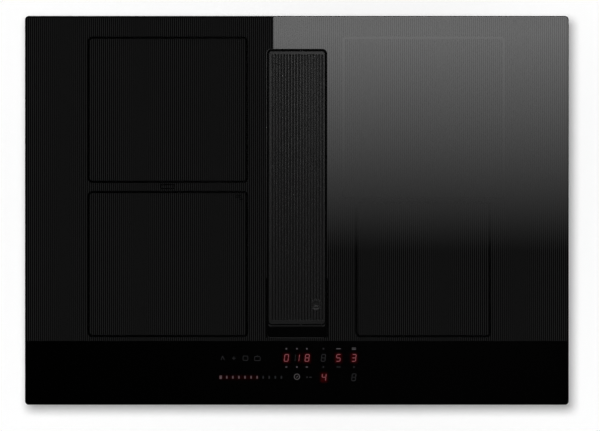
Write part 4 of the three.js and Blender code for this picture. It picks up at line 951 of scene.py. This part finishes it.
def bar_outline(x, y, width, height):
    return corners_of((x - width / 2, y - height / 2), (x + width / 2, y + height / 2))


def ring_outline(x, y, radius, sides=28):
    turns = [2 * math.pi * k / sides for k in range(sides)]
    return [(x + radius * math.cos(turn), y + radius * math.sin(turn)) for turn in turns]


def stroke_outline(start, end, width):
    """A straight stroke with pointed ends, as a display's segment has."""
    start, end = Vector(start), Vector(end)
    along = (end - start).normalized()
    across = Vector((-along.y, along.x)) * width / 2
    inward = along * width / 2
    near, far = start + inward, end - inward
    corners = (start, near + across, far + across, end, far - across, near - across)
    return [tuple(corner) for corner in corners]


def add_path(mesh, width, *places):
    """Strokes from place to place, for signs drawn in lines."""
    for start, end in zip(places, places[1:]):
        ink_shape(mesh, stroke_outline(start, end, width))


def ink_piece(name, mesh, material):
    return piece(name, mesh, material)


print("ink layer is", round(INK_HEIGHT / MM, 2), "mm high")

# %% Finishes: lit red, lit white, red-rimmed ticks and dim signs
GRAIN_DIMMING = 0.85
LAMP_GRAIN = 3000.0
LIT_RED = (0.205, 0.064, 0.073, 1.0)
LIT_WHITE = (0.075, 0.07, 0.072, 1.0)
LIT_TICK = (0.085, 0.057, 0.06, 1.0)
DIM_SIGN = (0.017, 0.017, 0.018, 1.0)


def lit_finish(name, colour):
    """Light through frosted ink: even, with a fine flicker of brightness from the diffuser's grain."""
    material, tree, inputs = finish(name, Roughness=0.4, Specular_IOR_Level=0.1, Emission_Strength=1.0)
    inputs["Base Color"].default_value = grey(BARE_GLASS)
    dimmed = (*(GRAIN_DIMMING * part for part in colour[:3]), 1.0)
    grain = noise(tree, coordinates(tree), LAMP_GRAIN)
    feed(tree, inputs["Emission Color"], blend(tree, grain, dimmed, colour))
    return material


lit_red = lit_finish("lit_red_digit", LIT_RED)
lit_white = lit_finish("lit_white_sign", LIT_WHITE)
lit_tick = lit_finish("lit_slider_tick", LIT_TICK)
dim_sign = lit_finish("dim_touch_sign", DIM_SIGN)
print("made", lit_red.name, lit_white.name, lit_tick.name, dim_sign.name)

# %% Pieces: digits
DIGIT_ROW = -195.35
LOWER_ROW = -221.0
DIGIT_HALF_WIDTH = 2.5
DIGIT_HALF_HEIGHT = 4.5
DIGIT_STROKE = 1.05
THIN_STROKE = 0.7
DIGIT_LEAN = 0.12
SEGMENT_GAP = 0.12
LIT_DIGITS = (
    ("0", -13.8, DIGIT_ROW),
    ("1", 0.6, DIGIT_ROW),
    ("8", 13.7, DIGIT_ROW),
    ("5", 55.0, DIGIT_ROW),
    ("3", 75.6, DIGIT_ROW),
    ("4", 35.9, LOWER_ROW),
)
RESTING_DIGITS = (("8", 35.2, DIGIT_ROW), ("8", 75.4, LOWER_ROW))
UNLIT_HALF_OF_ONE = "ef"
SEGMENTS_OF = {"0": "abcdef", "1": "bc", "3": "abcdg", "4": "bcfg", "5": "acdfg", "8": "abcdefg"}
SEGMENT_ENDS = {
    "a": ((-1, 1), (1, 1)),
    "b": ((1, 1), (1, 0)),
    "c": ((1, 0), (1, -1)),
    "d": ((-1, -1), (1, -1)),
    "e": ((-1, 0), (-1, -1)),
    "f": ((-1, 1), (-1, 0)),
    "g": ((-1, 0), (1, 0)),
}


def add_digit(mesh, shown, x, y, stroke=DIGIT_STROKE):
    for letter in shown:
        ends = []
        for across, up in SEGMENT_ENDS[letter]:
            height = up * DIGIT_HALF_HEIGHT
            ends.append(Vector((x + across * DIGIT_HALF_WIDTH + height * DIGIT_LEAN, y + height)))
        along = (ends[1] - ends[0]).normalized() * SEGMENT_GAP
        ink_shape(mesh, stroke_outline(ends[0] + along, ends[1] - along, stroke))


mesh = bmesh.new()
for digit, x, y in LIT_DIGITS:
    add_digit(mesh, SEGMENTS_OF[digit], x, y, THIN_STROKE if digit == "1" else DIGIT_STROKE)
ink_piece("lit_digits", mesh, lit_red)
mesh = bmesh.new()
for digit, x, y in RESTING_DIGITS:
    add_digit(mesh, SEGMENTS_OF[digit], x, y)
add_digit(mesh, UNLIT_HALF_OF_ONE, LIT_DIGITS[1][1], DIGIT_ROW, THIN_STROKE)
ink_piece("resting_digits", mesh, dim_sign)
print("digits:", "".join(digit for digit, x, y in LIT_DIGITS))

# %% Pieces: marks above and below the digits
MARK_SIZE = 1.9
UPPER_MARKS = -183.2
LOWER_MARKS = -207.4
WHITE_MARKS = (
    (-13.8, UPPER_MARKS, MARK_SIZE, MARK_SIZE),
    (0.1, UPPER_MARKS, MARK_SIZE, MARK_SIZE),
    (13.3, UPPER_MARKS, MARK_SIZE, MARK_SIZE),
    (55.2, UPPER_MARKS, 6.0, 1.1),
    (75.6, UPPER_MARKS + 0.9, 5.4, 1.0),
    (75.6, UPPER_MARKS - 0.9, 5.4, 1.0),
    (-13.8, LOWER_MARKS, 2.4, 1.3),
    (0.1, LOWER_MARKS, MARK_SIZE, MARK_SIZE),
    (13.3, LOWER_MARKS, 3.0, 1.3),
)
DIM_MARKS = (
    (35.2, UPPER_MARKS, MARK_SIZE, MARK_SIZE),
    (35.2, LOWER_MARKS, MARK_SIZE, MARK_SIZE),
    (55.2, LOWER_MARKS, 5.4, 1.2),
    (75.6, LOWER_MARKS, MARK_SIZE, MARK_SIZE),
    (13.6, LOWER_ROW, 1.6, 2.0),
    (18.0, LOWER_ROW, 3.6, 1.2),
)
for name, marks, material in (("lit_marks", WHITE_MARKS, lit_white), ("dim_marks", DIM_MARKS, dim_sign)):
    mesh = bmesh.new()
    for mark in marks:
        ink_shape(mesh, bar_outline(*mark))
    ink_piece(name, mesh, material)
print(len(WHITE_MARKS), "lit and", len(DIM_MARKS), "dim marks")

# %% Pieces: the slider's ticks
SLIDER_START = -100.8
SLIDER_PITCH = 8.04
SLIDER_TICKS = 11
SLIDER_LIT = 7
FIRST_TICK_SIZE = (3.2, 4.6)
TICK_SIZE = (1.9, 3.6)

lit, resting = bmesh.new(), bmesh.new()
for k in range(SLIDER_TICKS):
    width, height = TICK_SIZE if k else FIRST_TICK_SIZE
    tick = bar_outline(SLIDER_START + k * SLIDER_PITCH, LOWER_ROW, width, height)
    ink_shape(lit if k < SLIDER_LIT else resting, tick)
ink_piece("slider_level", lit, lit_tick)
ink_piece("slider_rest", resting, dim_sign)
print("slider shows", SLIDER_LIT, "of", SLIDER_TICKS)

# %% Pieces: on-off ring and the signs of the touch fields
RING_X, RING_Y = 0.1, -220.3
RING_RADIUS = 4.05
RING_STROKE = 0.95
RING_SLASH = ((-0.9, -1.1), (1.5, 1.1))
SIGN_ROW = -195.8
SIGN_STROKE = 0.85
CROSS_X = -83.4
CROSS_REACH = 2.6
SIGN_PATHS = (
    ((-100.4, -198.4), (-98.4, -192.6), (-95.9, -198.4)),
    ((-71.2, -192.9), (-71.2, -198.5), (-64.9, -198.5), (-64.9, -192.9), (-71.2, -192.9)),
    ((-55.9, -194.2), (-55.9, -198.9), (-48.6, -198.9), (-48.6, -194.2)),
    ((-56.2, -193.6), (-48.4, -193.6)),
    ((-53.1, -192.2), (-51.5, -192.2)),
)

mesh = bmesh.new()
ring_loops = [ring_outline(RING_X, RING_Y, radius) for radius in (RING_RADIUS, RING_RADIUS - RING_STROKE)]
ink_shape(mesh, ring_loops[0], ring_loops[1][::-1])
add_path(mesh, RING_STROKE, *((RING_X + x, RING_Y + y) for x, y in RING_SLASH))
ink_piece("on_off_ring", mesh, lit_white)

mesh = bmesh.new()
for turn in range(4):
    reach = Vector((math.cos(turn * math.pi / 2), math.sin(turn * math.pi / 2))) * CROSS_REACH
    add_path(mesh, SIGN_STROKE, (CROSS_X, SIGN_ROW), (CROSS_X + reach.x, SIGN_ROW + reach.y))
for path in SIGN_PATHS:
    add_path(mesh, SIGN_STROKE, *path)
ink_piece("touch_signs", mesh, dim_sign)
print("control strip done")

# %% [markdown]
# ## Effects that several finishes share
#
# Moulded parts have a fine spark-eroded grain, sheet metal has lines from rolling, and zinc forms spangles.
# Each effect is a node group, built once, and each finish sets its own size and strength. Noise in object
# space needs no unwrapped faces, and it sits still on the part when a joint moves.

# %% Node group: moulded grain
BROAD_GRAIN = 22.0

moulded_grain, given, out = open_group(
    "moulded_grain", {"Point": ORIGIN, "Fineness": 1500.0}, ["Height", "Tone"]
)
tree = moulded_grain
fine = noise(tree, given["Point"], given["Fineness"], 3.0)
broad = noise(tree, given["Point"], BROAD_GRAIN)
feed(tree, out["Height"], fine)
feed(tree, out["Tone"], times(tree, plus(tree, fine, broad), 0.5))
print("made", moulded_grain.name)

# %% Node group: lines from rolling or brushing
rolled_lines, given, out = open_group(
    "rolled_lines", {"Point": ORIGIN, "Stretch": (60.0, 2500.0, 2500.0)}, ["Height"]
)
tree = rolled_lines
stretched = vector_maths(tree, "MULTIPLY", given["Point"], given["Stretch"])
feed(tree, out["Height"], noise(tree, stretched, 1.0, 4.0))
print("made", rolled_lines.name)

# %% Node group: zinc spangles
zinc_spangle, given, out = open_group("zinc_spangle", {"Point": ORIGIN, "Fineness": 140.0}, ["Tone"])
tree = zinc_spangle
flower = tree.nodes.new("ShaderNodeTexVoronoi")
feed(tree, flower.inputs["Vector"], given["Point"])
feed(tree, flower.inputs["Scale"], given["Fineness"])
split = tree.nodes.new("ShaderNodeSeparateColor")
feed(tree, split.inputs[0], flower.outputs["Color"])
feed(tree, out["Tone"], split.outputs["Red"])
print("made", zinc_spangle.name)

# %% [markdown]
# ## Finishes of the parts under the glass
#
# Nothing under the glass shows from above, but a hob is also seen from the side and from behind before it
# is built in. Mouldings are black or grey, the pan is zinc-coated sheet, the filter is aluminium.

# %% Helper: a moulded finish
GRAIN_DEPTH = 0.02 * MM
TONE_RANGE = (0.3, 0.7)


def moulded_finish(name, dark, light, smooth, rough, fineness=1500.0, depth=GRAIN_DEPTH):
    material, tree, inputs = finish(name, Specular_IOR_Level=0.4)
    grain = use_group(tree, moulded_grain, Point=coordinates(tree), Fineness=fineness)
    shade(tree, inputs, grain["Tone"], grey(dark), grey(light), smooth, rough, TONE_RANGE)
    bump(tree, inputs, grain["Height"], depth)
    return material


black_moulding = moulded_finish("black_moulding", 0.009, 0.016, 0.42, 0.56)
# Black plastic, darkened much further than the other black mouldings: painted shade, so the gap round the
# flap shows as dark as its shade.
throat_moulding_in_painted_shade = moulded_finish("throat_moulding_in_painted_shade", 0.0015, 0.003, 0.45, 0.6)
grey_moulding = moulded_finish("grey_moulding", 0.10, 0.135, 0.4, 0.52)
tank_moulding = moulded_finish("tank_moulding", 0.034, 0.048, 0.22, 0.32, 900.0, 0.4 * GRAIN_DEPTH)
seal_rubber = moulded_finish("seal_rubber", 0.016, 0.026, 0.62, 0.75, 2200.0)
foam_tape = moulded_finish("foam_tape", 0.02, 0.045, 0.85, 0.95, 1100.0, 6 * GRAIN_DEPTH)
ferrite_block = moulded_finish("ferrite_block", 0.035, 0.065, 0.6, 0.8, 1800.0, 2 * GRAIN_DEPTH)
print("seven moulded finishes")


# %% Helper: a sheet metal finish
def metal(level):
    """A faintly blue metal colour, given by its red."""
    return (level, level + 0.01, level + 0.02, 1.0)


def sheet_finish(name, dark, light, smooth, rough, stretch, depth=0.004 * MM):
    material, tree, inputs = finish(name, Metallic=1.0)
    lines = use_group(tree, rolled_lines, Point=coordinates(tree), Stretch=stretch)["Height"]
    shade(tree, inputs, lines, metal(dark), metal(light), smooth, rough, TONE_RANGE)
    bump(tree, inputs, lines, depth)
    return material


ALONG_X = (60.0, 2500.0, 2500.0)
ALONG_Y = (2500.0, 60.0, 2500.0)
rolled_aluminium = sheet_finish("rolled_aluminium", 0.66, 0.76, 0.28, 0.42, ALONG_X)
bright_spring = sheet_finish("bright_spring_steel", 0.55, 0.64, 0.18, 0.3, ALONG_Y)
print("two rolled finishes")

# %% Finish: zinc-coated sheet
ZINC_GRAIN_DEPTH = 0.004 * MM

zinc_sheet, tree, inputs = finish("zinc_coated_sheet", Metallic=1.0)
point = coordinates(tree)
spangle = use_group(tree, zinc_spangle, Point=point, Fineness=140.0)["Tone"]
grain = use_group(tree, moulded_grain, Point=point, Fineness=900.0)
shade(tree, inputs, spangle, metal(0.50), metal(0.60), 0.34, 0.48)
bump(tree, inputs, grain["Height"], ZINC_GRAIN_DEPTH)
print("made", zinc_sheet.name)

# %% Finish: filter mesh of expanded aluminium
MESH_CELL = 2.6 * MM
STRAND_DEPTH = 0.25 * MM
# The holes are painted shade: the plate has no openings, and this dark colour stands for the shade seen
# through them.
HOLE_PAINTED_SHADE = (0.2, 0.2, 0.205, 1.0)

filter_mesh, tree, inputs = finish("expanded_filter_mesh", Metallic=1.0)
along, across = (
    times(tree, axis, 2 * math.pi / MESH_CELL) for axis in split_point(tree, coordinates(tree))[:2]
)
slants = (plus(tree, along, across), minus(tree, along, across))
strands = larger(tree, *(absolute(tree, maths(tree, "SINE", slant)) for slant in slants))
# Painted shade in the holes between the strands.
shade(tree, inputs, strands, HOLE_PAINTED_SHADE, metal(0.66), 0.6, 0.34)
bump(tree, inputs, strands, STRAND_DEPTH)
print("made", filter_mesh.name)

# %% Finish: circuit board with its tracks under a green mask
TRACK_PITCH = 6.0 * MM
TRACK_LENGTH = 3 * TRACK_PITCH
TRACK_WIDTH = 0.12 * TRACK_PITCH
TRACK_HEIGHT = 0.03 * MM
MASK_DARK = (0.025, 0.14, 0.06, 1.0)
MASK_LIGHT = (0.04, 0.19, 0.085, 1.0)
TRACK_COLOUR = (0.09, 0.30, 0.14, 1.0)

circuit_board, tree, inputs = finish("circuit_board", Specular_IOR_Level=0.5)
point = coordinates(tree)
grain = use_group(tree, moulded_grain, Point=point, Fineness=700.0)
tracks = tree.nodes.new("ShaderNodeTexBrick")
for name, value in (
    ("Vector", point),
    ("Scale", 1.0),
    ("Brick Width", TRACK_LENGTH),
    ("Row Height", TRACK_PITCH),
    ("Mortar Size", TRACK_WIDTH),
):
    feed(tree, tracks.inputs[name], value)
mask_colour = blend(tree, grain["Tone"], MASK_DARK, MASK_LIGHT)
feed(tree, inputs["Base Color"], blend(tree, tracks.outputs["Fac"], mask_colour, TRACK_COLOUR))
feed(tree, inputs["Roughness"], remap(tree, grain["Tone"], *TONE_RANGE, 0.3, 0.42))
bump(tree, inputs, tracks.outputs["Fac"], TRACK_HEIGHT)
print("made", circuit_board.name)

# %% Finishes: litz windings, one for each coil
WINDING_PITCH = 2.8 * MM
STRAND_PITCH = 1.1 * MM
WINDING_DEPTH = 0.3 * MM
TWIST_SHARE = 0.12
# The darker colour is painted shade in the troughs between the turns; the paler one is the lacquered
# copper's own colour.
LACQUER_IN_PAINTED_SHADE = (0.16, 0.06, 0.03, 1.0)
LACQUER_LIGHT = (0.62, 0.30, 0.17, 1.0)
COIL_CORNER = {"left_rear": 60.0 * MM, "left_front": 60.0 * MM}


def wave(tree, distance, pitch):
    return maths(tree, "SINE", times(tree, distance, 2 * math.pi / pitch))


def litz_finish(zone):
    """Lacquered wire wound in rings that follow the coil's outline, with its strands' twist."""
    coil_low, coil_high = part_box(f"coil_{zone}")
    corner = COIL_CORNER.get(zone, (coil_high.x - coil_low.x) / 2)
    material, tree, inputs = finish(f"litz_winding_{zone}", Metallic=0.35, Specular_IOR_Level=0.5)
    point = coordinates(tree)
    away = to_box(tree, point, coil_low, coil_high, corner)
    axes = split_point(tree, point)
    slant = plus(tree, axes["X"], plus(tree, axes["Y"], away))
    twist = wave(tree, slant, STRAND_PITCH)
    height = plus(tree, times(tree, twist, TWIST_SHARE), wave(tree, away, WINDING_PITCH))
    crest = remap(tree, height, -1.0, 1.0)
    # Painted shade: the colour follows the windings' height and darkens in the troughs.
    shade(tree, inputs, crest, LACQUER_IN_PAINTED_SHADE, LACQUER_LIGHT, 0.6, 0.36)
    bump(tree, inputs, height, WINDING_DEPTH)
    return material


litz = {zone: litz_finish(zone) for zone in ZONES}
print("windings for", ", ".join(litz))

# %% Give each CAD part its finish
FINISH_OF_SLOT = {
    "black_glass": black_glass,
    "foam": foam_tape,
    "black_plastic": black_moulding,
    "grey_plastic": grey_moulding,
    "aluminium": rolled_aluminium,
    "galvanised": zinc_sheet,
    "spring_steel": bright_spring,
    "ferrite": ferrite_block,
    "board": circuit_board,
    "dark_paint": satin_coat,
    "tank_plastic": tank_moulding,
    "rubber": seal_rubber,
}
FINISH_OF_NODE = {
    "slot_frame": trim_black,
    # The throat's liner and the flap's carrier carry the painted shade of the gap round the flap.
    "throat_liner": throat_moulding_in_painted_shade,
    "flap_carrier": throat_moulding_in_painted_shade,
    "filter_mesh": filter_mesh,
    **{f"coil_{zone}": litz[zone] for zone in ZONES},
}
for entry in frame["record"]["subparts"]:
    node = frame["nodes"][entry["node"]]
    chosen = FINISH_OF_NODE.get(entry["node"]) or FINISH_OF_SLOT[entry["material_slot"]]
    for slot in node.material_slots:
        slot.material = chosen

# %% [markdown]
# ## Small raised shapes
#
# Sheet and mouldings carry many low shapes: pressed beads, ribs and screw heads. One helper lays a rounded
# plate on any face, given the face's two directions, and sinks its foot a little, so no light leaks under.

# %% Helper: a low rounded plate on a face
FOOT_SINK = 0.3 * MM
X, Y, Z = Vector((1, 0, 0)), Vector((0, 1, 0)), Vector((0, 0, 1))


def tilted_loop(mesh, centre, along, across, points, level):
    """A loop in the plane that two directions span, at a level over its centre."""
    up = along.cross(across)
    return [mesh.verts.new(centre + along * x + across * y + up * level) for x, y in points]


def raised_wall(mesh, centre, along, across, size, corner, height, edge, steps=4):
    """Foot, wall and rounded edge of a plate of size (long, wide). Returns the row round its flat top."""
    high = Vector(size) / 2
    rows = []
    for inset, level in [(0.0, -FOOT_SINK), *reversed(edge_rows(edge, height, 0.0, 3)[:-1])]:
        loop = rounded_loop(-high, high, corner, inset, steps)
        rows.append(tilted_loop(mesh, centre, along, across, loop, level))
    skin_rows(mesh, rows)
    fill(mesh, rows[0])
    return rows[-1]


def raised_plate(mesh, *place_and_shape):
    fill(mesh, raised_wall(mesh, *place_and_shape))


print("plates sink", FOOT_SINK / MM, "mm into their face")

# %% Helper: a screw head with a cross recess
SCREW_RADIUS = 2.6 * MM
SCREW_HEIGHT = 1.3 * MM
SCREW_EDGE = 0.5 * MM
RECESS_REACH = 1.35 * MM
RECESS_HALF = 0.33 * MM
RECESS_DEPTH = 0.8 * MM


def screw_head(mesh, centre, along, across):
    size = (2 * SCREW_RADIUS, 2 * SCREW_RADIUS)
    top = raised_wall(mesh, centre, along, across, size, SCREW_RADIUS, SCREW_HEIGHT, SCREW_EDGE, 5)
    quarter = [(RECESS_REACH, -RECESS_HALF), (RECESS_REACH, RECESS_HALF), (RECESS_HALF, RECESS_HALF)]
    cross = []
    for _ in range(4):
        cross += quarter
        quarter = [(-y, x) for x, y in quarter]
    mouth = tilted_loop(mesh, centre, along, across, cross, SCREW_HEIGHT)
    recess_floor = tilted_loop(mesh, centre, along, across, cross, SCREW_HEIGHT - RECESS_DEPTH)
    fill(mesh, top, mouth)
    skin(mesh, mouth, recess_floor)
    fill(mesh, recess_floor)


print("screw heads are", 2 * SCREW_RADIUS / MM, "mm wide")

# %% [markdown]
# ## Beads and screws of the pan
#
# Thin sheet drums unless beads are pressed into it, so the pan's walls get long low beads between the vents
# and the clips. Screws hold the fan and the housing to the pan.

# %% Pieces: the pan's beads and screws
BEAD_WIDTH = 7.0 * MM
BEAD_HEIGHT = 1.0 * MM
BEAD_EDGE = 0.9 * MM
BEAD_FROM_FLOOR = 12.0 * MM
SCREW_OVER_BEAD = 14.0 * MM
PAN_LIP = 5.0 * MM
LONG_WALL_BEADS = ((-200, 200), (0, 120), (200, 200))
SHORT_WALL_BEADS = ((-195, 50), (0, 190), (195, 50))
LONG_WALL_SCREWS = (-315, -70, 70, 315)
SHORT_WALL_SCREWS = (-215, 215)

pan_low, pan_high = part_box("base_pan")
pan_middle = (pan_low + pan_high) / 2
wall_x = (pan_high.x - pan_low.x) / 2 - PAN_LIP
wall_y = (pan_high.y - pan_low.y) / 2 - PAN_LIP
bead_place = Vector((pan_middle.x, pan_middle.y, pan_low.z + BEAD_FROM_FLOOR))
beads, screws = bmesh.new(), bmesh.new()
for outward, reach, bead_table, screw_table in (
    (-Y, wall_y, LONG_WALL_BEADS, LONG_WALL_SCREWS),
    (-X, wall_x, SHORT_WALL_BEADS, SHORT_WALL_SCREWS),
    (Y, wall_y, LONG_WALL_BEADS, LONG_WALL_SCREWS),
    (X, wall_x, SHORT_WALL_BEADS, SHORT_WALL_SCREWS),
):
    along = Z.cross(outward)
    foot = bead_place + outward * reach
    sideways = Vector((abs(along.x), abs(along.y), 0)) * MM
    for place, length in bead_table:
        size = (length * MM, BEAD_WIDTH)
        raised_plate(beads, foot + sideways * place, along, Z, size, BEAD_WIDTH / 2, BEAD_HEIGHT, BEAD_EDGE)
    for place in screw_table:
        screw_head(screws, foot + sideways * place + Z * SCREW_OVER_BEAD, along, Z)
piece("pan_beads", beads, zinc_sheet)
piece("pan_screws", screws, zinc_sheet)
print("pan walls at x", round(wall_x / MM), "and y", round(wall_y / MM), "mm")

# %% [markdown]
# ## Ribs and screws of the blower housing
#
# The scroll is a moulding, stiffened by upright ribs round its spiral wall. They follow the same spiral as
# the wall: its radius grows evenly with the angle. A row of screws closes the flat air housing above it.

# %% Pieces: ribs on the scroll
SPIRAL_START = 93.0 * MM
SPIRAL_END = 126.0 * MM
SPIRAL_FROM = 80.0
RIB_ANGLES = range(100, 356, 15)
RIB_WIDTH = 2.4 * MM
RIB_HEIGHT = 1.4 * MM
RIB_EDGE = 0.8 * MM
RIB_SINK = 0.3 * MM
RIB_MARGIN = 7.0 * MM
SIDE_CLEARANCE = 2 * MM

wheel_low, wheel_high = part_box("blower_wheel")
scroll_low, scroll_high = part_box("scroll_housing")
axle = (wheel_low + wheel_high) / 2
axle.z = (scroll_low.z + scroll_high.z) / 2
rib_size = (scroll_high.z - scroll_low.z - 2 * RIB_MARGIN, RIB_WIDTH)
mesh = bmesh.new()
for degrees in RIB_ANGLES:
    turn = math.radians(degrees)
    turned = (degrees - SPIRAL_FROM) / (360 - SPIRAL_FROM)
    radius = SPIRAL_START + turned * (SPIRAL_END - SPIRAL_START)
    outward = Vector((math.cos(turn), math.sin(turn), 0))
    foot = axle + outward * (radius - RIB_SINK)
    if foot.x > scroll_low.x + SIDE_CLEARANCE:
        raised_plate(mesh, foot, Z, outward.cross(Z), rib_size, RIB_WIDTH / 2, RIB_HEIGHT, RIB_EDGE)
piece("scroll_ribs", mesh, black_moulding)
print("spiral radius grows from", SPIRAL_START / MM, "to", SPIRAL_END / MM, "mm")

# %% Pieces: screws along the air housing's flange
FLANGE_SCREW_INSET = 3.2 * MM
SIDE_SCREWS = (-150, -90, -30, 30, 90, 150, 205)
END_SCREWS = (-30, 30)

plate_low, plate_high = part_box("inlet_plate")
screw_x = plate_low.x + FLANGE_SCREW_INSET
places = [(screw_x, y * MM) for y in SIDE_SCREWS]
for x in END_SCREWS:
    places += [(x * MM, plate_low.y + FLANGE_SCREW_INSET), (x * MM, plate_high.y - FLANGE_SCREW_INSET)]
mesh = bmesh.new()
for x, y in places:
    screw_head(mesh, Vector((x, y, plate_high.z)), X, Y)
piece("housing_screws", mesh, zinc_sheet)
print("flange lies at z", round(plate_high.z / MM, 1), "mm")

# %% [markdown]
# ## Beads of the duct connection and ribs of the drip tank
#
# The duct slides over the flat spigot and is taped behind two moulded beads. The tank's long sides have
# grip ribs, low enough to clear the skirt that the tank slides out of.

# %% Pieces: beads round the spigot
SPIGOT_CORNER = 6.0 * MM
SPIGOT_FLANGE = 6.0 * MM
BEAD_PLACES = (10.0 * MM, 18.0 * MM)
RING_HALF = 1.2 * MM
RING_HEIGHT = 0.9 * MM
RING_STEPS = 6
TUBE_INSET = 1.7 * MM

# Half a flattened circle: how far out and how far along the bead's skin goes, from its sunk foot and back
turns = [math.pi * k / RING_STEPS for k in range(RING_STEPS + 1)]
arc = [(RING_HEIGHT * math.sin(turn), -RING_HALF * math.cos(turn)) for turn in turns]
bead_section = [(-FOOT_SINK, -RING_HALF), *arc, (-FOOT_SINK, RING_HALF)]

spigot_low, spigot_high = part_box("duct_spigot")
tube_low = (spigot_low.x + SPIGOT_FLANGE, spigot_low.z + TUBE_INSET)
tube_high = (spigot_high.x - SPIGOT_FLANGE, spigot_high.z - TUBE_INSET)
mesh = bmesh.new()
for place in BEAD_PLACES:
    rows = []
    for outward, along in bead_section:
        y = spigot_high.y - place + along
        loop = rounded_loop(tube_low, tube_high, SPIGOT_CORNER, -outward, 4)
        rows.append([mesh.verts.new((x, y, z)) for x, z in loop])
    skin_rows(mesh, rows, closed=True)
piece("spigot_beads", mesh, grey_moulding)
print("spigot is", round((tube_high[0] - tube_low[0]) / MM), "mm wide")

# %% Pieces: grip ribs of the tank
GRIP_PITCH = 16.0 * MM
GRIP_SIZE = (30.0 * MM, 3.0 * MM)
GRIP_HEIGHT = 0.8 * MM
GRIP_EDGE = 0.6 * MM
GRIP_FROM_FLOOR = 20.0 * MM
TANK_END_MARGIN = 40.0 * MM

tank_middle = (tank_low + tank_high) / 2
gaps = int((tank_high.y - tank_low.y - 2 * TANK_END_MARGIN) / GRIP_PITCH)
mesh = bmesh.new()
for k in range(gaps + 1):
    y = tank_middle.y + (k - gaps / 2) * GRIP_PITCH
    for side in (-1, 1):
        foot = Vector((side * tank_high.x, y, tank_low.z + GRIP_FROM_FLOOR))
        raised_plate(mesh, foot, Z, Y * -side, GRIP_SIZE, GRIP_SIZE[1] / 2, GRIP_HEIGHT, GRIP_EDGE)
piece("tank_ribs", mesh, tank_moulding, body="tank")
print("tank has", 2 * (gaps + 1), "ribs")
